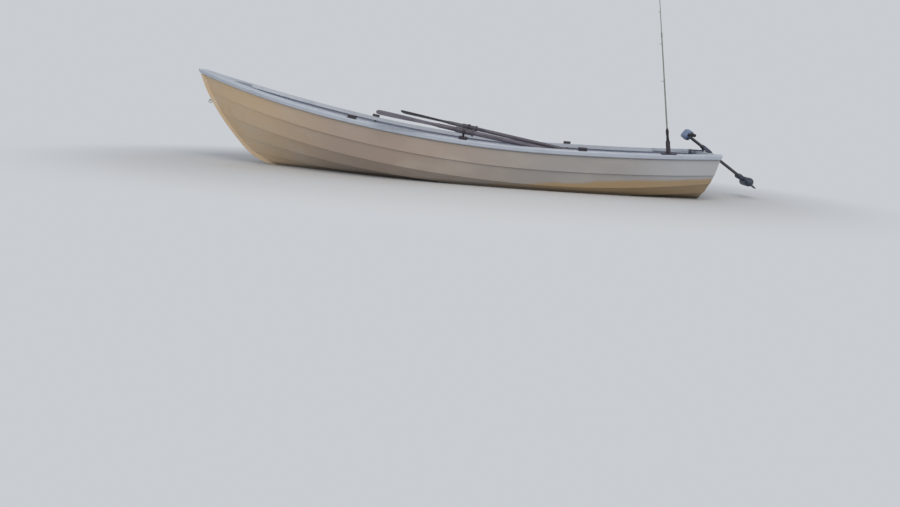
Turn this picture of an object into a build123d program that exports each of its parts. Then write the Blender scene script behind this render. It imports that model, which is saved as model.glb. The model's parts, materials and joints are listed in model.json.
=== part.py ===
"""Rowing boat moulded to look clinker-built, with oars, a rod in its holder and an electric outboard.

Millimetres. +X points to the bow, +Y to port and +Z up. The origin is on the centre line,
half-way along the hull, at the height of the still water that the empty boat floats in.
"""

from build123d import *

import os
from collections import namedtuple
from math import cos, radians, sin, tan

os.makedirs("parts", exist_ok=True)

# Hull: main sizes and places along it
TRANSOM_X = -2550
WIDEST_X = -63
LOWEST_X = -980
SHEER_RISE = 1.94
SKIN = 8
LAP_STEP = 10
BOW_LAP_STEP = 2
LAP_FADE_FROM = 1500
LAP_FADE_LENGTH = 1000
TRANSOM_RAKE = 12
TRANSOM_THICK = 32
TRANSOM_TOP = 412
TRANSOM_SHOULDER = 391
FIT = 0.4

# One row for each edge between planks, keel to sheer: where it meets the stem, its half-breadth at
# the widest place, its lowest height, where it meets the transom, and how full its plan curve is.
Lap = namedtuple("Lap", "stem_x stem_z wide_y low_z stern_y stern_z fullness")
LAPS = [
    Lap(1400, -60, -20, -82, -20, -30, 1.0),
    Lap(1770, 0, 200, -70, 130, -12, 1.9),
    Lap(2030, 130, 385, -48, 250, 22, 2.1),
    Lap(2200, 300, 545, -15, 355, 95, 2.2),
    Lap(2350, 497, 648, 60, 432, 180, 2.3),
    Lap(2462, 700, 700, 200, 470, 252, 2.4),
    Lap(2548, 900, 722, 381, 495, 425, 2.5),
]
SHEER = LAPS[-1]
STATIONS = [-2700, -2250, -1800, -1300, -750, -150, 450, 1000, 1480, 1880, 2200, 2440, 2620]

# How far past the shell the blanks reach that are trimmed to it
PAST_CENTRE = -600
PAST_SIDE = 800
PAST_STERN = -2700
PAST_BOW = 2500
UNDER_SHELL = -200
ABOVE_SHEER = 60

# Gunwale rail: outline beside the top edge of the shell, outward and upward from the sheer
RAIL_LIP = 20
RAIL_INNER = 50
RAIL_CAP = 12
RAIL_DEEP = 28
RAIL_OUTLINE = [
    (FIT, -RAIL_DEEP),
    (RAIL_LIP - 4, -RAIL_DEEP),
    (RAIL_LIP, -RAIL_DEEP + 6),
    (RAIL_LIP, RAIL_CAP - 6),
    (RAIL_LIP - 6, RAIL_CAP),
    (-RAIL_INNER + 5, RAIL_CAP),
    (-RAIL_INNER, RAIL_CAP - 5),
    (-RAIL_INNER, -RAIL_DEEP),
    (-SKIN - FIT, -RAIL_DEEP),
    (-SKIN - FIT, FIT),
    (FIT, FIT),
]

# Rowlock sockets, the same on both sides, and the rowlocks that stand in them
SOCKET_X = {"aft": -1260, "mid": -170, "fore": 860}
SOCKET_ACROSS = -29.5
SOCKET_BORE = 6.5
SOCKET_TUBE = 12
SOCKET_LONG = 77
SOCKET_ALONG = 76
SOCKET_WIDE = 38
SOCKET_HIGH = 26
SOCKET_GLUE = 0.3
ROWLOCK_PIN = 6.42
ROWLOCK_RISE = 77
ROWLOCK_INSIDE = 29
ROWLOCK_THICK = 9
ROWLOCK_WIDE = 18
ROWLOCK_NECK = 9
OAR_SINKS = 1.75

# Oars: along their own length from the rowlock, forward positive
OAR_HANDLE_END = -1800
OAR_GRIP_FROM = -1640
OAR_BLADE_ROOT = 240
OAR_TIP = 800
OAR_SLOPE = 8.6
OAR_YAW = 8.6
LOOM_R = 20.5
GRIP_R = 15.5
COLLAR_LONG = 150
COLLAR_GAP = 0.3
COLLAR_THICK = 5
BLADE_FROM = OAR_BLADE_ROOT + FIT
BLADE_ROUND_FROM = OAR_TIP - 40
BLADE_ROOT_HALF = 19
BLADE_HALF = 70
BLADE_THICK = 12
# Lengths of the loom, handle first: start, end, and the radius at each
LOOM_LENGTHS = [
    (OAR_HANDLE_END, OAR_GRIP_FROM, 17, GRIP_R),
    (OAR_GRIP_FROM, OAR_GRIP_FROM + 30, GRIP_R, LOOM_R),
    (OAR_GRIP_FROM + 30, COLLAR_LONG / 2 + 20, LOOM_R, LOOM_R),
    (COLLAR_LONG / 2 + 20, OAR_BLADE_ROOT, LOOM_R, LOOM_R - 2),
]

# Outboard: the tilt pin, and the lengths measured along the shaft from beside that pin
MOTOR_Y = -190
TILT_PIN = Vector(-2592, MOTOR_Y, 440)
SHAFT_BELOW_LEVEL = 33
SHAFT_BEHIND_PIN = 26
SHAFT_R = 14
POD_DOWN = 545
HEAD_UP = 245
STEERED = 90


def lap_y(lap, x):
    """Half-breadth of a plank edge at x; ahead of the stem it is negative."""
    if lap is LAPS[0]:
        return lap.wide_y
    if x > WIDEST_X:
        along = (x - WIDEST_X) / (lap.stem_x - WIDEST_X)
        return lap.wide_y * (1 - along**lap.fullness)
    along = (WIDEST_X - x) / (WIDEST_X - TRANSOM_X)
    return lap.wide_y - (lap.wide_y - lap.stern_y) * along**2


def lap_z(lap, x):
    """Height of a plank edge at x."""
    if x > LOWEST_X:
        along = (x - LOWEST_X) / (lap.stem_x - LOWEST_X)
        return lap.low_z + (lap.stem_z - lap.low_z) * along**SHEER_RISE
    along = (LOWEST_X - x) / (LOWEST_X - TRANSOM_X)
    return lap.low_z + (lap.stern_z - lap.low_z) * along**2


def lap_step(x):
    """How far each plank stands out over the one below it; it fades towards the stem."""
    faded = max(0, x - LAP_FADE_FROM) / LAP_FADE_LENGTH
    return max(BOW_LAP_STEP, LAP_STEP - faded * (LAP_STEP - BOW_LAP_STEP))


def planking(x):
    """Plank edges at x with each plank's direction upward and its normal outward, as (y, z)."""
    edges = [Vector(lap_y(lap, x), lap_z(lap, x)) for lap in LAPS]
    ups = [(high - low).normalized() for low, high in zip(edges, edges[1:])]
    outs = [Vector(up.Y, -up.X) for up in ups]
    return edges, ups, outs


def outer_line(x):
    """The lapped outside of the port half at x, keel to sheer."""
    edges, ups, outs = planking(x)
    points = []
    for number, (low, high) in enumerate(zip(edges, edges[1:])):
        points.append(low + outs[number] * (lap_step(x) if number else 0))
        points.append(high)
    return [(point.X, point.Y) for point in points]


def inner_line(x, inset, above=0):
    """A smooth line inside the planking at x, keel to sheer, carried above the sheer if wished."""
    edges, ups, outs = planking(x)
    points = []
    for number, edge in enumerate(edges):
        below = outs[max(0, number - 1)]
        over = outs[min(number, len(outs) - 1)]
        middle = (below + over).normalized()
        points.append(edge - middle * (inset / middle.dot(below)))
    points[-1] = points[-1] + ups[-1] * above
    return [(point.X, point.Y) for point in points]


def rail_line(x):
    """The gunwale's outline at x, in the slope of the top plank."""
    edges, ups, outs = planking(x)
    points = [edges[-1] + outs[-1] * out + ups[-1] * up for out, up in RAIL_OUTLINE]
    points[0] = points[0] + outs[-1] * (lap_step(x) * RAIL_DEEP / (edges[-1] - edges[-2]).length)
    return [(point.X, point.Y) for point in points]


def side_y(x, z, inset):
    """Half-breadth inside the planking at x and z."""
    line = inner_line(x, inset)
    for (low_y, low_z), (high_y, high_z) in zip(line, line[1:]):
        if low_z <= z <= high_z:
            return low_y + (high_y - low_y) * (z - low_z) / (high_z - low_z)
    return line[-1][0]


def transom_plane(forward):
    """The transom's aft face moved forward, its normal forward and its x to starboard."""
    normal = Vector(cos(radians(TRANSOM_RAKE)), 0, sin(radians(TRANSOM_RAKE)))
    aft_top = Vector(TRANSOM_X, 0, SHEER.stern_z)
    return Plane(origin=aft_top + normal * forward, x_dir=(0, -1, 0), z_dir=normal)


def rail_plane(x, across, side):
    """Plane lying on the gunwale's cap, x along it to the bow and z square up from it."""

    def on_cap(at):
        edges, ups, outs = planking(at)
        return edges[-1] + outs[-1] * across + ups[-1] * RAIL_CAP

    here = on_cap(x)
    near = on_cap(x + 1)
    edges, ups, outs = planking(x)
    along = Vector(1, side * (near.X - here.X), near.Y - here.Y).normalized()
    outward = Vector(0, side * outs[-1].X, outs[-1].Y)
    normal = along.cross(outward) * side
    return Plane(origin=(x, side * here.X, here.Y), x_dir=along, z_dir=normal)


def port_loft(line_at, ahead_of=None, centre_y=0):
    """Solid through the outline at every station, kept to port of the centre line."""
    with BuildPart() as body:
        for x in STATIONS:
            with BuildSketch(Plane(origin=(x, 0, 0), x_dir=(0, 1, 0), z_dir=(1, 0, 0))):
                with BuildLine():
                    Polyline(*line_at(x), close=True)
                make_face()
        loft()
        port = Plane(origin=(0, centre_y, 0), x_dir=(1, 0, 0), z_dir=(0, 1, 0))
        split(bisect_by=port, keep=Keep.TOP)
        if ahead_of is not None:
            split(bisect_by=transom_plane(ahead_of), keep=Keep.TOP)
    return body.part


def inside_line(inset, above):
    """Outline of the port half of the boat's inside, closed beyond the centre line."""

    def line_at(x):
        line = inner_line(x, inset, above)
        return line + [(PAST_CENTRE, line[-1][1]), (PAST_CENTRE, line[0][1])]

    return line_at


def outside_line(x):
    """Outline of the port half of the boat's outside, closed beyond the centre line."""
    line = outer_line(x)
    return line + [(PAST_CENTRE, line[-1][1]), (PAST_CENTRE, line[0][1])]


def save(made, label):
    """Names a piece and writes it."""
    made.part.label = label
    export_step(made.part, f"parts/{label}.step")


def block(x_from, x_to, y_from, y_to, z_from, z_to, mode=Mode.ADD):
    """A box between six faces."""
    centre = ((x_from + x_to) / 2, (y_from + y_to) / 2, (z_from + z_to) / 2)
    with Locations(centre):
        Box(x_to - x_from, y_to - y_from, z_to - z_from, mode=mode)


PORT_OUTSIDE = port_loft(outside_line)

# Shell: two mirrored halves that meet on the centre line, behind the keel and stem
with BuildPart() as hull_port:
    add(PORT_OUTSIDE)
    split(bisect_by=transom_plane(0), keep=Keep.TOP)
    add(port_loft(inside_line(SKIN, ABOVE_SHEER + 40)), mode=Mode.SUBTRACT)
save(hull_port, "hull_port")
with BuildPart() as hull_starboard:
    add(mirror(hull_port.part, about=Plane.XZ), clean=False)
save(hull_starboard, "hull_starboard")

# What the fitted pieces are trimmed to: the port half of the space inside the shell
PORT_INSIDE = port_loft(inside_line(SKIN + FIT, ABOVE_SHEER))
INSIDE_RAILS = port_loft(inside_line(RAIL_INNER + FIT, ABOVE_SHEER))

# The transom is full width up to the rails' underside and narrower between them
TRANSOM_BLANK_FRONT = -2300
with BuildPart() as between_rails:
    block(PAST_STERN, TRANSOM_BLANK_FRONT, 0, PAST_SIDE, TRANSOM_SHOULDER, TRANSOM_TOP)
    add(INSIDE_RAILS, mode=Mode.INTERSECT)
with BuildPart() as transom_board:
    block(PAST_STERN, TRANSOM_BLANK_FRONT, 0, PAST_SIDE, UNDER_SHELL, TRANSOM_SHOULDER)
    add(PORT_INSIDE, mode=Mode.INTERSECT)
    add(between_rails.part)
    split(bisect_by=transom_plane(0), keep=Keep.TOP)
    split(bisect_by=transom_plane(TRANSOM_THICK), keep=Keep.BOTTOM)
    mirror(about=Plane.XZ)
save(transom_board, "transom_board")

# Keel and stem in one, under the shell's centre line, with a steel band along its edge
KEEL_AFT_X = -2425
KEEL_BOTTOM = -120
KEEL_HALF = 18
BAND_AFT_X = KEEL_AFT_X + 20
BAND_HALF = 11
BAND_THICK = 3
STEM_ENDS = [(1, 0), (0.36, 0.93)]
STEM_LINE = [
    (500, KEEL_BOTTOM),
    (1410, -76),
    (1862, 15),
    (1981, 69),
    (2184, 258),
    (2350, 470),
    (2505, 750),
    (2548, 864),
]


def keel_edge(out):
    """Straight keel and curved stem, moved outward."""
    points = [Vector(x, z) for x, z in STEM_LINE]
    moved = []
    for number, point in enumerate(points):
        before = points[max(0, number - 1)]
        after = points[min(len(points) - 1, number + 1)]
        along = (after - before).normalized()
        if number == 0:
            along = Vector(1, 0)
        moved.append(point + Vector(along.Y, -along.X) * out)
    return [(point.X, point.Y) for point in moved]


with BuildPart() as keel:
    edge = keel_edge(0)
    with BuildSketch(Plane.XZ):
        with BuildLine():
            Line((KEEL_AFT_X, KEEL_BOTTOM), edge[0])
            Spline(*edge, tangents=STEM_ENDS)
            Polyline(edge[-1], (2480, 850), (1900, 300), (1200, 60), (KEEL_AFT_X, 60))
            Line((KEEL_AFT_X, 60), (KEEL_AFT_X, KEEL_BOTTOM))
        make_face()
    extrude(amount=-KEEL_HALF)
    add(PORT_OUTSIDE, mode=Mode.SUBTRACT)
    mirror(about=Plane.XZ)
save(keel, "keel")

with BuildPart() as keel_band:
    near = keel_edge(FIT)
    far = keel_edge(FIT + BAND_THICK)
    with BuildSketch(Plane.XZ):
        with BuildLine():
            Line((BAND_AFT_X, near[0][1]), near[0])
            Spline(*near, tangents=STEM_ENDS)
            Line(near[-1], far[-1])
            Spline(*far, tangents=STEM_ENDS)
            Line(far[0], (BAND_AFT_X, far[0][1]))
            Line((BAND_AFT_X, far[0][1]), (BAND_AFT_X, near[0][1]))
        make_face()
    extrude(amount=BAND_HALF, both=True)
save(keel_band, "keel_band")

# Gunwales, bored for the sockets
with BuildPart() as gunwale_port:
    add(port_loft(rail_line, ahead_of=0, centre_y=FIT))
    for socket_x in SOCKET_X.values():
        with Locations(rail_plane(socket_x, SOCKET_ACROSS, 1)):
            Cylinder(SOCKET_TUBE + 0.3, 140, mode=Mode.SUBTRACT)
save(gunwale_port, "gunwale_port")
with BuildPart() as gunwale_starboard:
    add(mirror(gunwale_port.part, about=Plane.XZ), clean=False)
save(gunwale_starboard, "gunwale_starboard")

# Knees in the ends of the boat and the cap over the transom
BREASTHOOK_AFT_X = 2130
BREASTHOOK_THICK = 24
sheer_slope = (lap_z(SHEER, 2400) - lap_z(SHEER, 2200)) / 200
with BuildPart() as breasthook:
    under_cap = lap_z(SHEER, 2250) + RAIL_CAP - BREASTHOOK_THICK
    low_edge = Plane(origin=(2250, 0, under_cap), x_dir=(1, 0, sheer_slope), z_dir=(-sheer_slope, 0, 1))
    with BuildSketch(low_edge):
        with BuildLine():
            ThreePointArc((-60, 0), (-75, 80), (-190, 260))
            Polyline((-190, 260), (260, 260), (260, 0), (-60, 0))
        make_face()
    extrude(amount=BREASTHOOK_THICK)
    add(INSIDE_RAILS, mode=Mode.INTERSECT)
    mirror(about=Plane.XZ)
save(breasthook, "breasthook")

CAP_AFT_X = -2551
CAP_FRONT_X = -2506
KNEE_THICK = 26
with BuildPart() as transom_cap:
    block(CAP_AFT_X, CAP_FRONT_X, 0, PAST_SIDE, TRANSOM_TOP + FIT, SHEER.stern_z + RAIL_CAP)
    add(INSIDE_RAILS, mode=Mode.INTERSECT)
    mirror(about=Plane.XZ)
save(transom_cap, "transom_cap")

with BuildPart() as quarter_knee_port:
    with BuildSketch(Plane.XY.offset(SHEER.stern_z - KNEE_THICK)):
        with BuildLine():
            ThreePointArc((CAP_FRONT_X + FIT, 290), (-2410, 390), (-2160, 480))
            Polyline((-2160, 480), (-2160, 560), (CAP_FRONT_X + FIT, 560), (CAP_FRONT_X + FIT, 290))
        make_face()
    extrude(amount=KNEE_THICK)
    add(INSIDE_RAILS, mode=Mode.INTERSECT)
save(quarter_knee_port, "quarter_knee_port")
with BuildPart() as quarter_knee_starboard:
    add(mirror(quarter_knee_port.part, about=Plane.XZ), clean=False)
save(quarter_knee_starboard, "quarter_knee_starboard")

# Seats: one row a seat, with the thwart's aft and fore edges and the height of its top
Thwart = namedtuple("Thwart", "name aft_x fore_x top_z")
THWARTS = [
    Thwart("thwart_aft", -1040, -800, 190),
    Thwart("thwart_mid", 50, 290, 225),
    Thwart("thwart_fore", 1080, 1320, 300),
]
THWART_THICK = 28
THWART_ROUND = 6
CLEAT_DEEP = 42
CLEAT_WIDE = 34
CLEAT_SETBACK = 15
for thwart in THWARTS:
    with BuildPart() as seat:
        block(thwart.aft_x, thwart.fore_x, 0, PAST_SIDE, thwart.top_z - THWART_THICK, thwart.top_z)
        add(PORT_INSIDE, mode=Mode.INTERSECT)
        mirror(about=Plane.XZ)
        long_edges = seat.edges().filter_by(Axis.Y).group_by(Axis.Z)[-1]
        fillet(long_edges, THWART_ROUND)
    save(seat, thwart.name)

with BuildPart() as thwart_cleats:
    for thwart in THWARTS:
        cleat_top = thwart.top_z - THWART_THICK - FIT
        middle_x = (thwart.aft_x + thwart.fore_x) / 2
        inner_y = side_y(middle_x, cleat_top - CLEAT_DEEP, SKIN + FIT) - CLEAT_WIDE
        aft_end = thwart.aft_x + CLEAT_SETBACK
        fore_end = thwart.fore_x - CLEAT_SETBACK
        block(aft_end, fore_end, inner_y, PAST_SIDE, cleat_top - CLEAT_DEEP, cleat_top)
    add(PORT_INSIDE, mode=Mode.INTERSECT)
    mirror(about=Plane.XZ)
save(thwart_cleats, "thwart_cleats")

# Closed lockers at the two ends, each a bulkhead with a deck over it
BULKHEAD_THICK = 12
BOW_LOCKER_X = 1610
BOW_DECK_Z = 400
STERN_LOCKER_X = -1850
STERN_DECK_Z = 212
DECK_THICK = 22
DECK_OVERHANG = 20
with BuildPart() as bow_bulkhead:
    fore_face = BOW_LOCKER_X + BULKHEAD_THICK
    block(BOW_LOCKER_X, fore_face, 0, PAST_SIDE, UNDER_SHELL, BOW_DECK_Z - DECK_THICK - FIT)
    add(PORT_INSIDE, mode=Mode.INTERSECT)
    mirror(about=Plane.XZ)
save(bow_bulkhead, "bow_bulkhead")

with BuildPart() as bow_deck:
    block(BOW_LOCKER_X - DECK_OVERHANG, PAST_BOW, 0, PAST_SIDE, BOW_DECK_Z - DECK_THICK, BOW_DECK_Z)
    add(PORT_INSIDE, mode=Mode.INTERSECT)
    mirror(about=Plane.XZ)
save(bow_deck, "bow_deck")

with BuildPart() as stern_bulkhead:
    aft_face = STERN_LOCKER_X - BULKHEAD_THICK
    block(aft_face, STERN_LOCKER_X, 0, PAST_SIDE, UNDER_SHELL, STERN_DECK_Z - DECK_THICK - FIT)
    add(PORT_INSIDE, mode=Mode.INTERSECT)
    mirror(about=Plane.XZ)
save(stern_bulkhead, "stern_bulkhead")

with BuildPart() as stern_seat:
    front_edge = STERN_LOCKER_X + DECK_OVERHANG
    block(PAST_STERN, front_edge, 0, PAST_SIDE, STERN_DECK_Z - DECK_THICK, STERN_DECK_Z)
    add(PORT_INSIDE, mode=Mode.INTERSECT)
    split(bisect_by=transom_plane(TRANSOM_THICK + FIT), keep=Keep.TOP)
    mirror(about=Plane.XZ)
save(stern_seat, "stern_seat")

# Floor: boards on five bearers
FLOOR_TOP = -23
FLOOR_AFT_X = -1830
BEARER_X = [-1700, -1100, -500, 100, 700]
BEARER_HALF = 22
BEARER_REACH = 360
BOARD_THICK = 12
BOARD_WIDE = 100
BOARD_GAP = 12
# Where each board ends forward, from the centre outward
BOARD_FORE_X = [1020, 780, 480]


def board(number):
    """A floor board at its place on the port side; the middle one is half of the centre board."""
    inner_y = number * (BOARD_WIDE + BOARD_GAP)
    outer_y = inner_y + BOARD_WIDE
    block(FLOOR_AFT_X, BOARD_FORE_X[number], inner_y, outer_y, FLOOR_TOP - BOARD_THICK, FLOOR_TOP)


with BuildPart() as floor_bearers:
    bearer_top = FLOOR_TOP - BOARD_THICK - FIT
    for bearer_x in BEARER_X:
        block(bearer_x - BEARER_HALF, bearer_x + BEARER_HALF, 0, BEARER_REACH, UNDER_SHELL, bearer_top)
    add(PORT_INSIDE, mode=Mode.INTERSECT)
    mirror(about=Plane.XZ)
save(floor_bearers, "floor_bearers")

with BuildPart() as floor_board_centre:
    board(0)
    add(PORT_INSIDE, mode=Mode.INTERSECT)
    mirror(about=Plane.XZ)
save(floor_board_centre, "floor_board_centre")

with BuildPart() as floor_boards_port:
    board(1)
    board(2)
    add(PORT_INSIDE, mode=Mode.INTERSECT)
save(floor_boards_port, "floor_boards_port")
with BuildPart() as floor_boards_starboard:
    add(mirror(floor_boards_port.part, about=Plane.XZ), clean=False)
save(floor_boards_starboard, "floor_boards_starboard")

# Metal fittings on the stem and the transom
BOW_EYE = Vector(2462, 0, 596)
BOW_EYE_BORE = 9
BOW_EYE_R = 18
BOW_EYE_HALF = 4
BOW_EYE_FOOT = 24.6
STEM_THERE = (155, 0, 280)
with BuildPart() as bow_eye:
    stem_along = Vector(STEM_THERE).normalized()
    with BuildSketch(Plane(origin=BOW_EYE, x_dir=stem_along, z_dir=(0, 1, 0))):
        Circle(BOW_EYE_R)
        with Locations((0, -BOW_EYE_FOOT / 2)):
            Rectangle(2 * BOW_EYE_R, BOW_EYE_FOOT)
        Circle(BOW_EYE_BORE, mode=Mode.SUBTRACT)
    extrude(amount=BOW_EYE_HALF, both=True)
save(bow_eye, "bow_eye")

DRAIN_DOWN = 395
DRAIN_R = 22
DRAIN_THICK = 8
with BuildPart() as drain_plug:
    with Locations(transom_plane(-FIT)):
        with Locations((0, DRAIN_DOWN, -DRAIN_THICK / 2)):
            Cylinder(DRAIN_R, DRAIN_THICK)
        with Locations((0, DRAIN_DOWN, -1.5 * DRAIN_THICK)):
            Box(DRAIN_R + 4, 6, DRAIN_THICK)
save(drain_plug, "drain_plug")


# Rowlock sockets and rowlocks
def socket(x, side):
    """A block on the cap with a bored tube down through the rail."""
    with Locations(rail_plane(x, SOCKET_ACROSS, side)):
        with Locations((0, 0, SOCKET_GLUE + SOCKET_HIGH / 2)):
            Box(SOCKET_ALONG, SOCKET_WIDE, SOCKET_HIGH)
        with Locations((0, 0, SOCKET_GLUE + SOCKET_HIGH - SOCKET_LONG / 2)):
            Cylinder(SOCKET_TUBE, SOCKET_LONG)
        Cylinder(SOCKET_BORE, 200, mode=Mode.SUBTRACT)


def rowlock(x, side, yaw):
    """A crutch on its pin, turned about the pin by yaw."""
    frame = rail_plane(x, SOCKET_ACROSS, side)
    with Locations(frame * Location((0, 0, 0), (0, 0, yaw))):
        with Locations((0, 0, -8)):
            Cylinder(ROWLOCK_PIN, 74)
        with Locations((0, 0, SOCKET_HIGH + 3.7)):
            Cylinder(11, 6)
        with Locations((0, 0, (SOCKET_HIGH + ROWLOCK_RISE - ROWLOCK_INSIDE) / 2)):
            Cylinder(ROWLOCK_NECK, ROWLOCK_RISE - ROWLOCK_INSIDE - SOCKET_HIGH - 4)
    crutch = frame * Location((0, 0, ROWLOCK_RISE), (0, 0, yaw)) * Location((0, 0, 0), (0, 90, 0))
    with Locations(crutch):
        Cylinder(ROWLOCK_INSIDE + ROWLOCK_THICK, ROWLOCK_WIDE)
        Cylinder(ROWLOCK_INSIDE, 30, mode=Mode.SUBTRACT)
        with Locations((-ROWLOCK_INSIDE - 12, 0, 0)):
            Box(34, 46, 30, mode=Mode.SUBTRACT)


with BuildPart() as sockets_port:
    for socket_x in SOCKET_X.values():
        socket(socket_x, 1)
save(sockets_port, "sockets_port")
with BuildPart() as sockets_starboard:
    for socket_x in SOCKET_X.values():
        socket(socket_x, -1)
save(sockets_starboard, "sockets_starboard")


# Oars, in their rowlocks with the blades forward
def oar_frame(side):
    """Frame at the rowlock with z along the oar to its blade and x across the blade."""
    rail = rail_plane(SOCKET_X["mid"], SOCKET_ACROSS, side)
    centre = rail.origin + rail.z_dir * (ROWLOCK_RISE - OAR_SINKS)
    level = cos(radians(OAR_SLOPE))
    along = Vector(
        level * cos(radians(OAR_YAW)),
        side * level * sin(radians(OAR_YAW)),
        sin(radians(OAR_SLOPE)),
    )
    across = Vector(0, 0, 1).cross(along).normalized()
    return Plane(origin=centre, x_dir=across, z_dir=along)


def along_oar(frame, position):
    """The oar's frame moved along it."""
    return Plane(origin=frame.origin + frame.z_dir * position, x_dir=frame.x_dir, z_dir=frame.z_dir)


for side, name in ((1, "port"), (-1, "starboard")):
    frame = oar_frame(side)
    with BuildPart() as loom:
        for start, end, r_start, r_end in LOOM_LENGTHS:
            with Locations(along_oar(frame, (start + end) / 2)):
                if r_start == r_end:
                    Cylinder(r_start, end - start)
                else:
                    Cone(r_start, r_end, end - start)
    save(loom, f"oar_loom_{name}")

    with BuildPart() as blade:
        face = Plane(origin=frame.origin, x_dir=frame.z_dir, z_dir=frame.z_dir.cross(frame.x_dir))
        upper = (BLADE_ROUND_FROM, BLADE_HALF)
        lower = (BLADE_ROUND_FROM, -BLADE_HALF)
        with BuildSketch(face):
            with BuildLine():
                Polyline((BLADE_FROM, -BLADE_ROOT_HALF), (BLADE_FROM, BLADE_ROOT_HALF), (320, 30))
                Spline((320, 30), (520, 62), upper, tangents=[(1, 0.1), (1, 0.05)])
                ThreePointArc(upper, (OAR_TIP, 0), lower)
                Spline(lower, (520, -62), (320, -30), tangents=[(-1, 0.05), (-1, 0.1)])
                Line((320, -30), (BLADE_FROM, -BLADE_ROOT_HALF))
            make_face()
        extrude(amount=BLADE_THICK / 2, both=True)
    save(blade, f"oar_blade_{name}")

    with BuildPart() as collar:
        with Locations(along_oar(frame, 0)):
            Cylinder(LOOM_R + COLLAR_GAP + COLLAR_THICK, COLLAR_LONG)
            Cylinder(LOOM_R + COLLAR_GAP, COLLAR_LONG + 10, mode=Mode.SUBTRACT)
    save(collar, f"oar_collar_{name}")

    with BuildPart() as crutch:
        rowlock(SOCKET_X["mid"], side, side * OAR_YAW)
    save(crutch, f"rowlock_mid_{name}")

# Fishing rod standing in a holder on the port quarter; heights are along the rod from the rail
ROD_X = -2050
ROD_ACROSS = -16
ROD_LEAN = 11
HOLDER_LONG = 130
HOLDER_WIDE = 46
HOLDER_THICK = 9
TUBE_FROM = 4
TUBE_TO = 120
TUBE_R = 19
TUBE_BORE = 15
TUBE_BOTTOM = 14
holder_base = rail_plane(ROD_X, ROD_ACROSS, 1)
rod_along = Vector(sin(radians(ROD_LEAN)), 0, cos(radians(ROD_LEAN)))
rod_across = Vector(cos(radians(ROD_LEAN)), 0, -sin(radians(ROD_LEAN)))
rod_frame = Plane(origin=holder_base.origin, x_dir=rod_across, z_dir=rod_along)
with BuildPart() as rod_holder:
    with Locations(holder_base):
        with Locations((0, 0, HOLDER_THICK / 2 + FIT)):
            Box(HOLDER_LONG, HOLDER_WIDE, HOLDER_THICK)
    with Locations(rod_frame):
        with Locations((0, 0, (TUBE_FROM + TUBE_TO) / 2)):
            Cylinder(TUBE_R, TUBE_TO - TUBE_FROM)
        with Locations((0, 0, TUBE_BOTTOM + TUBE_TO / 2)):
            Cylinder(TUBE_BORE, TUBE_TO, mode=Mode.SUBTRACT)
save(rod_holder, "rod_holder")

ROD_HANDLE_R = 14
ROD_HANDLE_LONG = 220
with BuildPart() as rod_handle:
    with Locations(rod_frame):
        with Locations((0, 0, TUBE_BOTTOM + FIT + ROD_HANDLE_LONG / 2)):
            Cylinder(ROD_HANDLE_R, ROD_HANDLE_LONG)
save(rod_handle, "rod_handle")

ROD_BLANK_FROM = 235
ROD_FERRULE = 1050
ROD_TIP = 2100
# The two lengths of the blank: start, end, and the radius at each
BLANK_LENGTHS = [(ROD_BLANK_FROM, ROD_FERRULE, 7, 5), (ROD_FERRULE, ROD_TIP, 4, 1.5)]
with BuildPart() as rod_blank:
    for start, end, r_start, r_end in BLANK_LENGTHS:
        with Locations(rod_frame.offset((start + end) / 2)):
            Cone(r_start, r_end, end - start)
    with Locations(rod_frame):
        with Locations((0, 0, ROD_FERRULE)):
            Cylinder(6.5, 40)
save(rod_blank, "rod_blank")

# Electric outboard. Its frame has z up the shaft and x forward when the shaft hangs upright.
shaft_up = Vector(cos(radians(SHAFT_BELOW_LEVEL)), 0, sin(radians(SHAFT_BELOW_LEVEL)))
shaft_front = Vector(sin(radians(SHAFT_BELOW_LEVEL)), 0, -cos(radians(SHAFT_BELOW_LEVEL)))
PIN_FRAME = Plane(origin=TILT_PIN, x_dir=shaft_front, z_dir=shaft_up)
SHAFT_FRAME = Plane(origin=TILT_PIN - shaft_front * SHAFT_BEHIND_PIN, x_dir=shaft_front, z_dir=shaft_up)
STEER_FRAME = Plane(SHAFT_FRAME.location * Location((0, 0, 0), (0, 0, STEERED)))
PIN_R = 5
PIN_CAP_R = 9
PIN_CAP_THICK = 6
PIN_PLAY = 0.05
CHEEK_INNER = 26
CHEEK_THICK = 8
CHEEK_NOSE = 14
CHEEK_FOOT = 370
SLEEVE_R = 22
SLEEVE_TOP = 26
SLEEVE_FOOT = -50

# Clamp bracket: a channel that hooks over the transom, with pads under it
BRACKET_HALF = 40
BRACKET_THICK = 9
BRACKET_TOP = 449
BRACKET_FOOT = 340
BRACKET_FRONT_X = -2455
BRACKET_FRONT_FOOT = 330
OUTER_PAD_THICK = 4.4
INNER_PAD_THICK = 15
PAD_GAP = 5
SCREW_R = 6
SCREW_OUT = 24
SCREW_Z = 368
SCREW_END_X = -2430
DISC_R = 16
DISC_THICK = 5


def transom_x(z):
    """Where the transom's aft face is at height z."""
    return TRANSOM_X + (SHEER.stern_z - z) * tan(radians(TRANSOM_RAKE))


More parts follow.
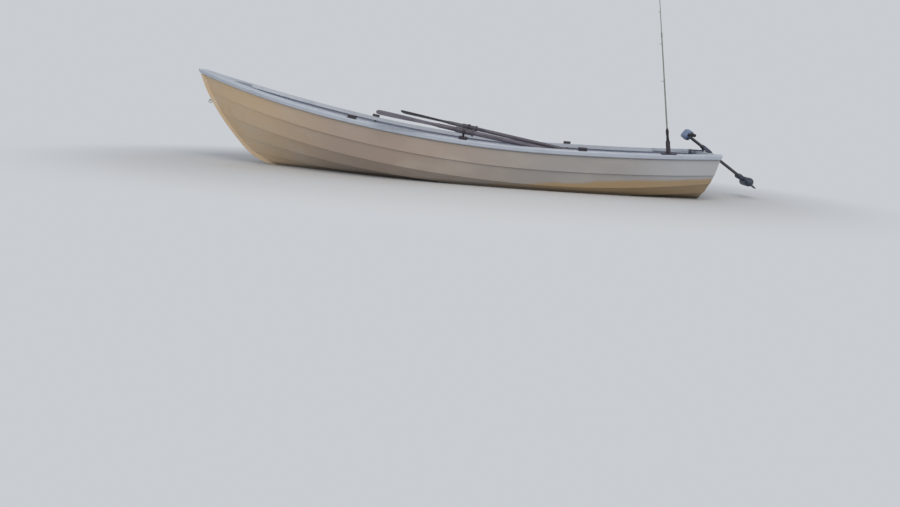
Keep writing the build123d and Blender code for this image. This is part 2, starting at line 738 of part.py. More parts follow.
with BuildPart() as clamp_bracket:
    under_top = BRACKET_TOP - BRACKET_THICK
    front_inside_x = BRACKET_FRONT_X - BRACKET_THICK
    plate_out = PAD_GAP + BRACKET_THICK
    with BuildSketch(Plane.XZ.offset(-MOTOR_Y)):
        with BuildLine():
            Polyline(
                (transom_x(BRACKET_FOOT) - PAD_GAP, BRACKET_FOOT),
                (transom_x(under_top) - PAD_GAP, under_top),
                (front_inside_x, under_top),
                (front_inside_x, BRACKET_FRONT_FOOT),
                (BRACKET_FRONT_X, BRACKET_FRONT_FOOT),
                (BRACKET_FRONT_X, BRACKET_TOP),
                (transom_x(under_top) - plate_out, BRACKET_TOP),
                (transom_x(BRACKET_FOOT) - plate_out, BRACKET_FOOT),
                close=True,
            )
        make_face()
    extrude(amount=BRACKET_HALF, both=True)
    for side in (1, -1):
        cheek_y = MOTOR_Y + side * (CHEEK_INNER + CHEEK_THICK / 2)
        with BuildSketch(Plane.XZ.offset(-cheek_y)):
            with BuildLine():
                Polyline(
                    (transom_x(under_top) - plate_out + 1, BRACKET_TOP),
                    (TILT_PIN.X, TILT_PIN.Z + CHEEK_NOSE),
                    (TILT_PIN.X - CHEEK_NOSE, TILT_PIN.Z),
                    (TILT_PIN.X, TILT_PIN.Z - CHEEK_NOSE),
                    (transom_x(CHEEK_FOOT) - plate_out + 1, CHEEK_FOOT),
                    close=True,
                )
            make_face()
        extrude(amount=CHEEK_THICK / 2, both=True)
    with Locations(Location(TILT_PIN, (90, 0, 0))):
        Cylinder(PIN_R + PIN_PLAY, 100, mode=Mode.SUBTRACT)
    for side in (1, -1):
        with Locations(Location((BRACKET_FRONT_X - 5, MOTOR_Y + side * SCREW_OUT, SCREW_Z), (0, 90, 0))):
            Cylinder(SCREW_R + 0.3, 30, mode=Mode.SUBTRACT)
save(clamp_bracket, "clamp_bracket")

disc_x = transom_x(SCREW_Z) + (TRANSOM_THICK + INNER_PAD_THICK + 3) / cos(radians(TRANSOM_RAKE)) + 6
with BuildPart() as clamp_screws:
    for side in (1, -1):
        screw_y = MOTOR_Y + side * SCREW_OUT
        with Locations(Location(((disc_x + SCREW_END_X) / 2, screw_y, SCREW_Z), (0, 90, 0))):
            Cylinder(SCREW_R, SCREW_END_X - disc_x)
        with Locations(Location((disc_x, screw_y, SCREW_Z), (0, 90 - TRANSOM_RAKE, 0))):
            Cylinder(DISC_R, DISC_THICK)
        with Locations((SCREW_END_X - 2, screw_y, SCREW_Z)):
            Box(7, 10, 62)
save(clamp_screws, "clamp_screws")

with BuildPart() as transom_pads:
    with Locations(transom_plane(0)):
        with Locations((-MOTOR_Y, 75, -FIT - OUTER_PAD_THICK / 2)):
            Box(230, 120, OUTER_PAD_THICK)
        with Locations((-MOTOR_Y, 86, TRANSOM_THICK + FIT + INNER_PAD_THICK / 2)):
            Box(190, 90, INNER_PAD_THICK)
save(transom_pads, "transom_pads")

with BuildPart() as tilt_pin:
    cap_out = CHEEK_INNER + CHEEK_THICK + FIT + PIN_CAP_THICK / 2
    with Locations(Location(TILT_PIN, (90, 0, 0))):
        Cylinder(PIN_R - 0.02, 2 * (CHEEK_INNER + CHEEK_THICK + PIN_CAP_THICK))
    for side in (1, -1):
        with Locations(Location(TILT_PIN + Vector(0, side * cap_out, 0), (90, 0, 0))):
            Cylinder(PIN_CAP_R, PIN_CAP_THICK)
save(tilt_pin, "tilt_pin")

LUG_MIDDLE = -8
LUG_HIGH = 40
with BuildPart() as motor_swivel:
    with Locations(SHAFT_FRAME):
        with Locations((0, 0, (SLEEVE_TOP + SLEEVE_FOOT) / 2)):
            Cylinder(SLEEVE_R, SLEEVE_TOP - SLEEVE_FOOT)
        with Locations((SHAFT_BEHIND_PIN / 2, 0, LUG_MIDDLE)):
            Box(SHAFT_BEHIND_PIN, 2 * SLEEVE_R, LUG_HIGH)
    with Locations(PIN_FRAME):
        with Locations(Location((0, 0, 0), (90, 0, 0))):
            Cylinder(12, 2 * CHEEK_INNER - 4)
            Cylinder(PIN_R + PIN_PLAY, 80, mode=Mode.SUBTRACT)
    with Locations(SHAFT_FRAME):
        Cylinder(SHAFT_R + 0.06, 300, mode=Mode.SUBTRACT)
save(motor_swivel, "motor_swivel")

# What turns with the tiller: shaft, head, tiller and pod
HEAD_LONG = 132
HEAD_WIDE = 92
HEAD_CORNER = 24
HEAD_FORWARD = 8
HEAD_HIGH = 78
HEAD_CROWN = 22
CROWN_TAPER = 35
POD_R = 44
POD_LONG = 220
POD_FORWARD = 10
POD_CHAMFER = 16
RING_R = 20
RING_HIGH = 18
RING_GAP = 3
with BuildPart() as motor_shaft:
    shaft_top = HEAD_UP - HEAD_HIGH / 2 - 1
    shaft_foot = POD_R - POD_DOWN
    with Locations(SHAFT_FRAME):
        with Locations((0, 0, (shaft_top + shaft_foot) / 2)):
            Cylinder(SHAFT_R, shaft_top - shaft_foot)
        with Locations((0, 0, SLEEVE_TOP + RING_GAP + RING_HIGH / 2)):
            Cylinder(RING_R, RING_HIGH)
        with Locations((0, 0, SLEEVE_FOOT - RING_GAP - RING_HIGH / 2)):
            Cylinder(RING_R, RING_HIGH)
save(motor_shaft, "motor_shaft")

with BuildPart() as motor_head:
    with BuildSketch(STEER_FRAME.offset(HEAD_UP - HEAD_HIGH / 2)):
        with Locations((HEAD_FORWARD, 0)):
            RectangleRounded(HEAD_LONG, HEAD_WIDE, HEAD_CORNER)
    extrude(amount=HEAD_HIGH - HEAD_CROWN)
    with BuildSketch(STEER_FRAME.offset(HEAD_UP + HEAD_HIGH / 2 - HEAD_CROWN)):
        with Locations((HEAD_FORWARD, 0)):
            RectangleRounded(HEAD_LONG, HEAD_WIDE, HEAD_CORNER)
    extrude(amount=HEAD_CROWN, taper=CROWN_TAPER)
save(motor_head, "motor_head")

TILLER_FROM = HEAD_FORWARD + HEAD_LONG / 2 + 0.5
TILLER_UP = HEAD_UP - 6
# The tiller's two lengths from the head: length and radius
TILLER_LENGTHS = [(80, 12), (110, 16)]
with BuildPart() as tiller:
    reached = TILLER_FROM
    for length, radius in TILLER_LENGTHS:
        with Locations(STEER_FRAME):
            with Locations(Location((reached + length / 2, 0, TILLER_UP), (0, 90, 0))):
                Cylinder(radius, length)
        reached += length
save(tiller, "tiller")

FIN_OUTLINE = [(70, -40), (40, -115), (-45, -125), (-60, -40)]
FIN_THICK = 6
FROM_BELOW = (Align.CENTER, Align.CENTER, Align.MIN)
with BuildPart() as motor_pod:
    with Locations(STEER_FRAME):
        with Locations(Location((POD_FORWARD, 0, -POD_DOWN), (0, 90, 0))):
            Cylinder(POD_R, POD_LONG)
    chamfer(motor_pod.edges().filter_by(GeomType.CIRCLE), POD_CHAMFER)
    pod_origin = STEER_FRAME.origin - shaft_up * POD_DOWN
    pod_front = STEER_FRAME.x_dir
    with BuildSketch(Plane(origin=pod_origin, x_dir=pod_front, z_dir=pod_front.cross(shaft_up))):
        with BuildLine():
            Polyline(*FIN_OUTLINE, close=True)
        make_face()
    extrude(amount=FIN_THICK / 2, both=True)
    with Locations(STEER_FRAME):
        with Locations((0, 0, -POD_DOWN)):
            Cylinder(SHAFT_R + 10, 2 * POD_R + 24, align=FROM_BELOW)
        with Locations((0, 0, -POD_DOWN + POD_R)):
            Cylinder(SHAFT_R + 0.3, 100, align=FROM_BELOW, mode=Mode.SUBTRACT)
save(motor_pod, "motor_pod")

# Propeller: two pitched blades on a hub just behind the pod
HUB_R = 22
HUB_LONG = 40.6
HUB_GAP = 0.3
VANE_FROM = 20
VANE_LONG = 75
VANE_WIDE = 46
VANE_THICK = 5
VANE_PITCH = 32
hub_middle = POD_FORWARD - POD_LONG / 2 - HUB_GAP - HUB_LONG / 2
with BuildPart() as propeller:
    with Locations(STEER_FRAME):
        with Locations(Location((hub_middle, 0, -POD_DOWN), (0, 90, 0))):
            Cylinder(HUB_R, HUB_LONG)
    for turn in (0, 180):
        vane_frame = STEER_FRAME * Location((hub_middle, 0, -POD_DOWN), (turn, 0, 0))
        with Locations(vane_frame * Location((0, 0, VANE_FROM + VANE_LONG / 2), (0, 0, VANE_PITCH))):
            Box(VANE_THICK, VANE_WIDE, VANE_LONG)
save(propeller, "propeller")
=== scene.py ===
# %% [markdown]
# # Rowing boat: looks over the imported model
# The CAD solids are a fixed frame, in metres: +X to the bow, +Y to port, +Z up, and the origin on
# the centre line at the height of the waterline. This lesson gives every solid the finish of the
# real one, makes the small things that are too fine for solids, and sets up a studio and a camera.

# %% Imports
import json
import math

import bmesh
import bpy
import numpy as np
from mathutils import Matrix, Vector

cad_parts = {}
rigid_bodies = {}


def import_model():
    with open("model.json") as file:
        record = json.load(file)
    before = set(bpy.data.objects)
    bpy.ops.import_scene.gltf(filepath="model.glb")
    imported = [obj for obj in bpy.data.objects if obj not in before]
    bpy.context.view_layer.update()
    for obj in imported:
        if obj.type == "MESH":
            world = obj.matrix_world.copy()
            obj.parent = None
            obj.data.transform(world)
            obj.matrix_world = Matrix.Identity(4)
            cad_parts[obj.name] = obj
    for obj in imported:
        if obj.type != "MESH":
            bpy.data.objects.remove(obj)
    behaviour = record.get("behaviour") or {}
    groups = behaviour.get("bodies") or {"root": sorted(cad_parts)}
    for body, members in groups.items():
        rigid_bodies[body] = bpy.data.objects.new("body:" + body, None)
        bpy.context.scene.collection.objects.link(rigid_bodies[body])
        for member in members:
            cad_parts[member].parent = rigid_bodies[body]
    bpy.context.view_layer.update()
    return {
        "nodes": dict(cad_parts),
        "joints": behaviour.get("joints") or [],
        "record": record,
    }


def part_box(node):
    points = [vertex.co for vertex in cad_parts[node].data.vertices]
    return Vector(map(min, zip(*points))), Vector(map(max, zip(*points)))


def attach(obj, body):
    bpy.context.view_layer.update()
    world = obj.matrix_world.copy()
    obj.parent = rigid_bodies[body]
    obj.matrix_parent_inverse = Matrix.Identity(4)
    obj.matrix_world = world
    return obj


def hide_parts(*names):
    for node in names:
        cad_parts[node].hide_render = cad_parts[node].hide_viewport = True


for leftover in list(bpy.data.objects):
    bpy.data.objects.remove(leftover, do_unlink=True)
scene = bpy.context.scene
scene.view_settings.view_transform = "Standard"
print("empty scene, standard view")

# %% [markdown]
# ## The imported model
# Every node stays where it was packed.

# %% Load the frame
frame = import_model()
nodes = frame["nodes"]
slot_of = {part["node"]: part["material_slot"] for part in frame["record"]["subparts"]}
body_of = {name: body for body, names in frame["record"]["behaviour"]["bodies"].items() for name in names}

# %% [markdown]
# ## How a finish is written
# A finish is a small tree of shader nodes. One function adds a node with its settings and links, and
# two more do arithmetic and soft changes. The others are the steps that every finish here shares: a
# fresh material, soft patches of a real size, a second colour laid over the first, and the links to
# the shader at the end. Colours are sRGB hex, turned to linear once. Patterns lie in object
# coordinates, so they stay still on the boat while a joint moves.

# %% Colour and node tools
MM = 0.001


def linear(hex_colour):
    """An sRGB hex colour as linear RGBA."""
    channels = [int(hex_colour[i : i + 2], 16) / 255 for i in (1, 3, 5)]
    spread = [c / 12.92 if c <= 0.04045 else ((c + 0.055) / 1.055) ** 2.4 for c in channels]
    return (*spread, 1.0)


def add_node(tree, kind, entries=None, **properties):
    """Adds a node. An entry is a number, a hex colour, or another node's output to link."""
    made = tree.nodes.new(kind)
    for name, value in properties.items():
        setattr(made, name, value)
    for name, value in (entries or {}).items():
        if isinstance(value, bpy.types.NodeSocket):
            tree.links.new(value, made.inputs[name])
        elif isinstance(value, str) and value.startswith("#"):
            made.inputs[name].default_value = linear(value)
        else:
            made.inputs[name].default_value = value
    return made


def maths(tree, operation, *values):
    """The result of a Math node. A value is a number or another node's output."""
    return add_node(tree, "ShaderNodeMath", dict(enumerate(values)), operation=operation).outputs[0]


def eased(tree, value, start, full):
    """0 where the value is at start and 1 where it is at full, with a soft change between them."""
    change = add_node(
        tree,
        "ShaderNodeMapRange",
        {"Value": value, "From Min": start, "From Max": full},
        interpolation_type="SMOOTHSTEP",
    )
    return change.outputs[0]


print("the colour #808080 in linear is", round(linear("#808080")[0], 3))


# %% Steps that every finish shares
def new_finish(name, metallic=0.0):
    """A material with its tree, its shader and the place on the object in metres."""
    material = bpy.data.materials.new(name)
    material.use_nodes = True
    tree = material.node_tree
    shader = tree.nodes["Principled BSDF"]
    shader.inputs["Metallic"].default_value = metallic
    place = add_node(tree, "ShaderNodeTexCoord")
    return material, tree, shader, place


def patches(tree, place, size_mm, low, high, stretch=(1, 1, 1), detail=4):
    """Soft patches about size_mm across: 0 where the noise is under low, 1 where it is over high."""
    laid = add_node(tree, "ShaderNodeMapping", {"Vector": place.outputs["Object"], "Scale": stretch})
    noise = add_node(
        tree,
        "ShaderNodeTexNoise",
        {"Vector": laid.outputs[0], "Scale": 1 / (size_mm * MM), "Detail": detail},
    )
    return eased(tree, noise.outputs["Fac"], low, high)


def lay_over(tree, colour, mask, second, share=1.0, fades=None):
    """The second colour over the first by a mask, or by a value that fades it in between two limits."""
    if fades:
        mask = eased(tree, mask, *fades)
    weight = maths(tree, "MULTIPLY", mask, share)
    mixed = add_node(
        tree, "ShaderNodeMix", {"Factor": weight, "A": colour, "B": second}, data_type="RGBA"
    )
    return mixed.outputs["Result"]


def complete(tree, shader, tone, worn, roughness, relief, depth_mm):
    """Links a finish: its colour, a roughness that grows where it is worn, and a shallow relief."""
    tree.links.new(tone, shader.inputs["Base Color"])
    smooth, rough = roughness
    mapped = add_node(tree, "ShaderNodeMapRange", {"Value": worn, "To Min": smooth, "To Max": rough})
    tree.links.new(mapped.outputs[0], shader.inputs["Roughness"])
    raised = add_node(tree, "ShaderNodeBump", {"Height": relief, "Strength": 1.0, "Distance": depth_mm * MM})
    tree.links.new(raised.outputs[0], shader.inputs["Normal"])


print("steps of a finish ready")

# %% [markdown]
# ## The shell
# The shell is glass-fibre laid up in a clinker-shaped mould, so its face is pigmented gelcoat. New
# gelcoat is a smooth, half-glossy plastic, with an IOR of 1.5. Years of sun have chalked this one:
# the gloss has gone in soft clouds, rain has drawn faint streaks down the planks, and an ochre bloom
# has grown along the waterline, aft of midships. Painted shade darkens the corner under each lap.
# All of it could be painted by hand on an unwrapped mesh, but rules on height, length and corners
# give the same stains and painted shade, keep them on the right planks, and stay sharp at any distance.

# %% Chalked colour of the gelcoat, from the warm bow to the grey stern
# Each tone that follows the bow's, and where it starts and is full, in metres along the hull
TONES_GOING_AFT = [("#928479", 2.1, 0.8), ("#8a8887", 0.6, -1.4), ("#989a9f", -1.5, -2.3)]
gelcoat, tree, shader, place = new_finish("gelcoat cream, chalked")
spot = add_node(tree, "ShaderNodeSeparateXYZ", {0: place.outputs["Object"]})
fore_and_aft = spot.outputs["X"]
tone = "#b09a7d"
for next_tone, starts_at, full_at in TONES_GOING_AFT:
    tone = lay_over(tree, tone, fore_and_aft, next_tone, fades=(starts_at, full_at))
clouds = patches(tree, place, 420, 0.42, 0.75, stretch=(1, 1, 2.5), detail=5)
tone = lay_over(tree, tone, clouds, "#aaa49b", 0.3)
rain_streaks = patches(tree, place, 70, 0.55, 0.85, stretch=(1, 1, 0.1), detail=3)
tone = lay_over(tree, tone, rain_streaks, "#827767", 0.16)
print("chalked tones in", len(tree.nodes), "nodes")

# %% [markdown]
# The bloom is a band of dried algae along the waterline. Its upper edge is a little wavy and rises
# toward the stern, and it is darkest where the hull is wet most of the time. A height that leans and
# wavers gives its edge, and two fades along the hull give its ends.

# %% Ochre bloom along the waterline
BLOOM_TOP = 0.11
BLOOM_RISE = 0.087
BLOOM_LEVEL_AT = -1.25
BLOOM_WAVE = 0.018
wave = maths(tree, "MULTIPLY", patches(tree, place, 300, 0.3, 0.7), BLOOM_WAVE)
height = maths(tree, "ADD", spot.outputs["Z"], wave)
ahead = maths(tree, "SUBTRACT", fore_and_aft, BLOOM_LEVEL_AT)
tilted = maths(tree, "MULTIPLY_ADD", ahead, BLOOM_RISE, height)
# Each fade: what it is read from, where it starts and where it is full, in metres
BLOOM_FADES = {
    "along": (fore_and_aft, 0.1, -1.1),
    "midships": (fore_and_aft, -2.7, -1.5),
    "low_down": (tilted, BLOOM_TOP + 0.022, BLOOM_TOP - 0.012),
    "near_waterline": (tilted, BLOOM_TOP - 0.05, BLOOM_TOP - 0.13),
}
fade = {name: eased(tree, value, start, full) for name, (value, start, full) in BLOOM_FADES.items()}
bloom = maths(tree, "MULTIPLY", fade["low_down"], fade["along"])
tone = lay_over(tree, tone, bloom, "#957b50", 0.8)
wet = maths(tree, "MULTIPLY", fade["near_waterline"], fade["along"])
wettest = maths(tree, "MULTIPLY", wet, fade["midships"])
tone = lay_over(tree, tone, wettest, "#75603d", 0.7)
print("bloom up to", BLOOM_TOP, "m, with", len(fade), "fades")

# %% [markdown]
# Painted shade darkens the gelcoat where shadow falls: under each lap, under the rail, in every corner
# and along the waterline. An Ambient Occlusion node finds those places. The inside face is the same
# moulding without sun and weather, so it has none of the stains; its blue-grey is a painted
# reflection of the sky in its shade. It is told from the outside by the way it faces: inward across
# the boat, or up.

# %% Painted shade in the corners, the inside face's painted sky tint, and the gelcoat's gloss
LAP_SHADE_REACH = 45 * MM
UP_COUNTS = 0.8
# Painted shade: this darkens the gelcoat where shadow falls, under each lap, under the rail, in corners and
# along the waterline.
corners = add_node(tree, "ShaderNodeAmbientOcclusion", {"Distance": LAP_SHADE_REACH}, samples=8)
tone = lay_over(tree, tone, corners.outputs["AO"], "#4f463c", 0.75, fades=(0.92, 0.35))
facing = add_node(tree, "ShaderNodeSeparateXYZ", {0: place.outputs["Normal"]})
outward = maths(tree, "MULTIPLY", facing.outputs["Y"], maths(tree, "SIGN", spot.outputs["Y"]))
upward = maths(tree, "MULTIPLY", facing.outputs["Z"], UP_COUNTS)
inward = maths(tree, "SUBTRACT", upward, outward)
# Painted reflection: the inside's pale blue-grey stands for the sky's light on it in its shade.
sky_tinted_inner_tone = lay_over(tree, "#afb5c6", patches(tree, place, 160, 0.4, 0.7), "#9aa0b0", 0.4)
tone = lay_over(tree, tone, inward, sky_tinted_inner_tone, fades=(-0.05, 0.05))
chalky = patches(tree, place, 90, 0.3, 0.7)
orange_peel = patches(tree, place, 35, 0.2, 0.8)
complete(tree, shader, tone, chalky, (0.36, 0.6), orange_peel, 0.2)
print("gelcoat for", [name for name, slot in slot_of.items() if slot == "hull_gel"])

# %% [markdown]
# ## Mouldings, paint and plastic
# Rails, lockers and fittings are moulded or painted: one colour, worn through in soft patches with
# finer scuffs between them. They differ in colour, gloss and in the size of the patches, so one
# function makes them all. Scuffs are drawn out along the boat, the way that gear slides in it.


# %% Worn paint
def worn_paint(name, colour, worn, roughness, patch_mm, share, metallic=0.0):
    """Paint, gelcoat or plastic that has worn to a second colour in patches."""
    material, tree, shader, place = new_finish(name, metallic)
    worn_away = patches(tree, place, patch_mm, 0.45, 0.7, detail=5)
    tone = lay_over(tree, colour, worn_away, worn, share)
    scuffs = patches(tree, place, patch_mm / 6, 0.6, 0.72, stretch=(0.2, 1, 1))
    tone = lay_over(tree, tone, scuffs, worn, share * 0.6)
    dents = patches(tree, place, patch_mm / 4, 0.2, 0.8)
    gloss = (roughness * 0.85, min(1.0, roughness * 1.3))
    complete(tree, shader, tone, worn_away, gloss, dents, 0.08)
    return material


print("paint ready")

# %% [markdown]
# Seats and floor boards are softwood. Sawn grain is a noise drawn out about fifteen times along the
# board. Real rings are 2 or 3 mm apart; they are drawn 14 mm apart, because finer ones wouldn't show
# from where the boat is seen. Varnish keeps the seats warm and a little shiny; the floor is bare and
# has greyed.


# %% Timber
def timber(name, light, dark, roughness, grain_mm, along="X"):
    """Softwood with its grain along X or across the boat."""
    material, tree, shader, place = new_finish(name)
    drawn_out = (0.06, 1, 1) if along == "X" else (1, 0.06, 1)
    grain = patches(tree, place, grain_mm, 0.35, 0.7, drawn_out, detail=6)
    tone = lay_over(tree, light, grain, dark)
    heartwood = patches(tree, place, grain_mm * 9, 0.35, 0.7, drawn_out, detail=2)
    tone = lay_over(tree, tone, heartwood, dark, 0.35)
    tone = lay_over(tree, tone, patches(tree, place, 180, 0.45, 0.75), "#5f5a50", 0.4)
    complete(tree, shader, tone, grain, (roughness, min(1.0, roughness * 1.3)), grain, 0.3)
    return material


print("timber ready")

# %% [markdown]
# The oars have lain out for years: spruce gone to a dark blue-grey with cracks along it. Real cracks
# are a millimetre wide; they are drawn several times wider, so that they show. The grain follows the
# oar, which is turned in the boat, so the pattern is turned with it.

# %% Weathered oars
OAR_YAW = 8.6
OAR_SLOPE = 8.6


def weathered_oar(name, yaw, slope):
    """Grey spruce with its grain along an oar turned by yaw and slope, in degrees."""
    material, tree, shader, place = new_finish(name)
    oar_turn = (0, math.radians(slope), -math.radians(yaw))
    along_oar = add_node(tree, "ShaderNodeMapping", {"Vector": place.outputs["Object"], "Rotation": oar_turn})
    drawn_out = add_node(tree, "ShaderNodeMapping", {"Vector": along_oar.outputs[0], "Scale": (0.05, 1, 1)})
    streaks = add_node(
        tree, "ShaderNodeTexNoise", {"Vector": drawn_out.outputs[0], "Scale": 1 / (9 * MM), "Detail": 6}
    )
    cracks = eased(tree, streaks.outputs["Fac"], 0.5, 0.66)
    tone = lay_over(tree, "#56525f", patches(tree, place, 240, 0.35, 0.7), "#45414e", 0.8)
    tone = lay_over(tree, tone, cracks, "#292630", 0.8)
    complete(tree, shader, tone, cracks, (0.5, 0.8), cracks, -0.3)
    return material


print("oars turned", OAR_YAW, "degrees out and", OAR_SLOPE, "down")

# %% [markdown]
# The outboard is painted aluminium over a nylon head. Its upper shell is coloured a paler blue-grey
# than the tray below it, a painted reflection of the sky on the head's top. Two materials would need
# a cut in the mesh; one material that reads how far up the shaft a point lies splits the slanting
# head just as sharply. The moulded texture is finer than half a millimetre on the real one, and is
# drawn 3 mm apart to break the shine at all.

# %% Outboard casing
SHAFT_SLOPE = math.radians(33)
SPLIT_BLUR = 2 * MM
SHAFT_UP = Vector((math.cos(SHAFT_SLOPE), 0, math.sin(SHAFT_SLOPE)))
head_low, head_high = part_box("motor_head")
split_at = ((head_low + head_high) / 2).dot(SHAFT_UP)
casing, tree, shader, place = new_finish("paint blue-grey on moulded casing")
rise = add_node(
    tree, "ShaderNodeVectorMath", {0: place.outputs["Object"], 1: SHAFT_UP}, operation="DOT_PRODUCT"
)
tray_tone = lay_over(tree, "#262e40", patches(tree, place, 50, 0.4, 0.75), "#3b465c", 0.5)
# Painted reflection: the lid's paler blue-grey stands for the sky mirrored on the head's top.
sky_reflecting_lid_tone = lay_over(tree, "#5c6e8d", patches(tree, place, 40, 0.45, 0.75), "#8295b2", 0.5)
split = (split_at - SPLIT_BLUR, split_at + SPLIT_BLUR)
tone = lay_over(tree, tray_tone, rise.outputs["Value"], sky_reflecting_lid_tone, fades=split)
handled = patches(tree, place, 18, 0.3, 0.7)
fine_grain = patches(tree, place, 3, 0.3, 0.7)
complete(tree, shader, tone, handled, (0.32, 0.5), fine_grain, 0.05)
print("casing splits", round(split_at, 3), "m up the shaft")

# %% [markdown]
# ## Which finish goes where
# The record names a slot for each solid, so all that is made alike can be painted alike. Each slot
# gets the finish of what the real thing is made of.

# %% Every finish, by the record's slot
# Paint takes its colour, its worn colour, roughness, the size of the patches in millimetres and how
# strongly they show; timber takes its light and dark colour, roughness and the spacing of its grain.
FINISHES = {
    "hull_gel": gelcoat,
    # Moulded but out of the sun: even and half-glossy, and a cool blue-grey that is a painted reflection of
    # the sky in shade
    "hull_inside": worn_paint("gelcoat grey-white, inside", "#a6abb8", "#8b909c", 0.45, 160, 0.4),
    # White that looks cool out of doors, scuffed by years of handling
    "rail_white": worn_paint("gelcoat white, scuffed", "#9fa7b3", "#8c939f", 0.4, 120, 0.3),
    # Warm brown under varnish, with bare darker streaks
    "seat_wood": timber("pine, worn varnish", "#8a6a44", "#5f4529", 0.45, 14, along="Y"),
    # No varnish, so no shine and a grey cast
    "floor_wood": timber("larch, bare and greyed", "#7a6f5e", "#524a3e", 0.8, 14),
    # Metal with a dull skin and a trace of brown
    "steel": worn_paint("stainless steel, dull", "#8e9092", "#5b5148", 0.4, 30, 0.4, metallic=0.9),
    # Injection moulded: dark, slightly warm, with a broad soft shine
    "black_plastic": worn_paint("nylon, black", "#231d27", "#38313b", 0.5, 40, 0.5),
    # Moulded rubber takes almost no shine
    "black_rubber": worn_paint("rubber, black", "#161618", "#29292b", 0.8, 40, 0.5),
    "oar_wood": weathered_oar("spruce, weathered grey", OAR_YAW, OAR_SLOPE),
    # Closed-cell foam, with a speckle of pores, drawn much coarser than they are so that it shows
    "cork_foam": worn_paint("foam grip, black", "#18181a", "#2b2a2c", 0.9, 8, 0.7),
    # Lacquer over glass cloth: the glossiest thing on the boat
    "rod_gloss": worn_paint("glass-fibre blank, grey-green", "#6d746c", "#8b9189", 0.25, 60, 0.4),
    "motor_dark": casing,
    # Pulled tube, dark with lighter rubbed places
    "shaft_grey": worn_paint("composite tube, dark", "#25262c", "#43454d", 0.45, 60, 0.5),
}
for name, node in nodes.items():
    node.data.materials.clear()
    node.data.materials.append(FINISHES[slot_of[name]])
print(len(FINISHES), "finishes on", len(nodes), "nodes")

# %% [markdown]
# The starboard oar points the other way, so its grain is turned the other way. The collars have
# greyed in the sun like the wood they sit on, and hardly stand out from it.

# %% Starboard oar and collars
starboard_oar = weathered_oar("spruce, weathered grey, starboard", -OAR_YAW, OAR_SLOPE)
collar_grey = worn_paint("nylon, greyed by the sun", "#3d3a45", "#56535d", 0.55, 40, 0.5)
own_finish = {
    "oar_loom_starboard": starboard_oar,
    "oar_blade_starboard": starboard_oar,
    "oar_collar_port": collar_grey,
    "oar_collar_starboard": collar_grey,
}
for name, finish in own_finish.items():
    nodes[name].data.materials.clear()
    nodes[name].data.materials.append(finish)
print(len(own_finish), "nodes with a finish of their own")

# %% [markdown]
# ## Tools for the small pieces
# What is too fine for the solids is added here: screw heads, guides on the rod, the grips and the
# collar buttons. Each rides with the body of the node that it sits on.
# Apart from the outboard's pieces, which have a frame of their own, places aren't typed in: a long
# node's own axis and rays from above find them, so a piece stays on its solid if a size changes.

# %% Finishing a piece, and finding what it sits on
SHARP = math.radians(32)
RAY_FROM = 3.0
FACES_UP = 0.8
FORE_AND_UP = (1, 0, 0.5)


def fit_out(piece, node, material):
    """Gives a new piece its finish and lets it ride with the body of the node it sits on."""
    scene.collection.objects.link(piece)
    piece.data.materials.clear()
    piece.data.materials.append(material)
    piece.data.shade_smooth()
    piece.data.set_sharp_from_angle(angle=SHARP)
    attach(piece, body_of[node])
    return piece


def long_axis(name):
    """Two ends of a slender node's axis, the aft or low end first."""
    points = np.array([corner.co for corner in nodes[name].data.vertices])
    middle = (points.min(0) + points.max(0)) / 2
    along = np.linalg.svd(points - points.mean(0), full_matrices=False)[2][0]
    if along @ FORE_AND_UP < 0:
        along = -along
    reach = (points - middle) @ along
    across = (points - middle) - np.outer(reach, along)
    centre = middle + (across.max(0) + across.min(0)) / 2
    return Vector(centre + along * reach.min()), Vector(centre + along * reach.max())


def ray_down(name, x, y):
    """Where a ray from above meets a node: its place and the way it faces, or None."""
    hit, place, way, _ = nodes[name].ray_cast(Vector((x, y, RAY_FROM)), Vector((0, 0, -1)))
    return (place, way) if hit else None


print("shaft of the port oar from", [round(v, 3) for v in long_axis("oar_loom_port")[0]])

# %% [markdown]
# Turned and lofted parts are skins over rings of points. Blender could spin a profile or bridge
# curves, but a skin written out keeps every face pointing outward, closes its own ends, and serves
# the lathe, the oar blades, the casing and the propeller alike.


# %% Skinning rings, and turning on a lathe
def skin(name, rings, hollow=False):
    """A closed shape through rings of points. Its ends are capped, or joined where it is hollow."""
    shape = bmesh.new()
    loops = [[shape.verts.new(point) for point in ring] for ring in rings]
    pairs = list(zip(loops, loops[1:]))
    if hollow:
        pairs.append((loops[-1], loops[0]))
    else:
        shape.faces.new(loops[0])
        shape.faces.new(loops[-1])
    for first, second in pairs:
        for step in range(len(first)):
            after = (step + 1) % len(first)
            shape.faces.new((first[step], first[after], second[after], second[step]))
    bmesh.ops.recalc_face_normals(shape, faces=shape.faces[:])
    mesh = bpy.data.meshes.new(name)
    shape.to_mesh(mesh)
    shape.free()
    return bpy.data.objects.new(name, mesh)


def turned(name, profile, start, toward, sides=28, hollow=False):
    """Solid of revolution: rows of millimetres along and radius, from start toward a point."""
    along = (toward - start).normalized()
    across = along.orthogonal().normalized()
    third = along.cross(across)
    angles = [math.tau * step / sides for step in range(sides)]
    spokes = [across * math.cos(angle) + third * math.sin(angle) for angle in angles]
    rings = [[start + (along * reach + spoke * radius) * MM for spoke in spokes] for reach, radius in profile]
    return skin(name, rings, hollow)


print("lathe ready")

# %% [markdown]
# ## Rows of small things
# Screw heads and rod guides repeat, so Geometry Nodes make them. A cloud of points carries the
# places, a vector named facing and a number named size. Every tree ends alike: its piece is set on
# each point, turned to face that way, scaled, made real mesh and given its finish. The result
# becomes a plain mesh before it rides on its body, because the export drops instances.


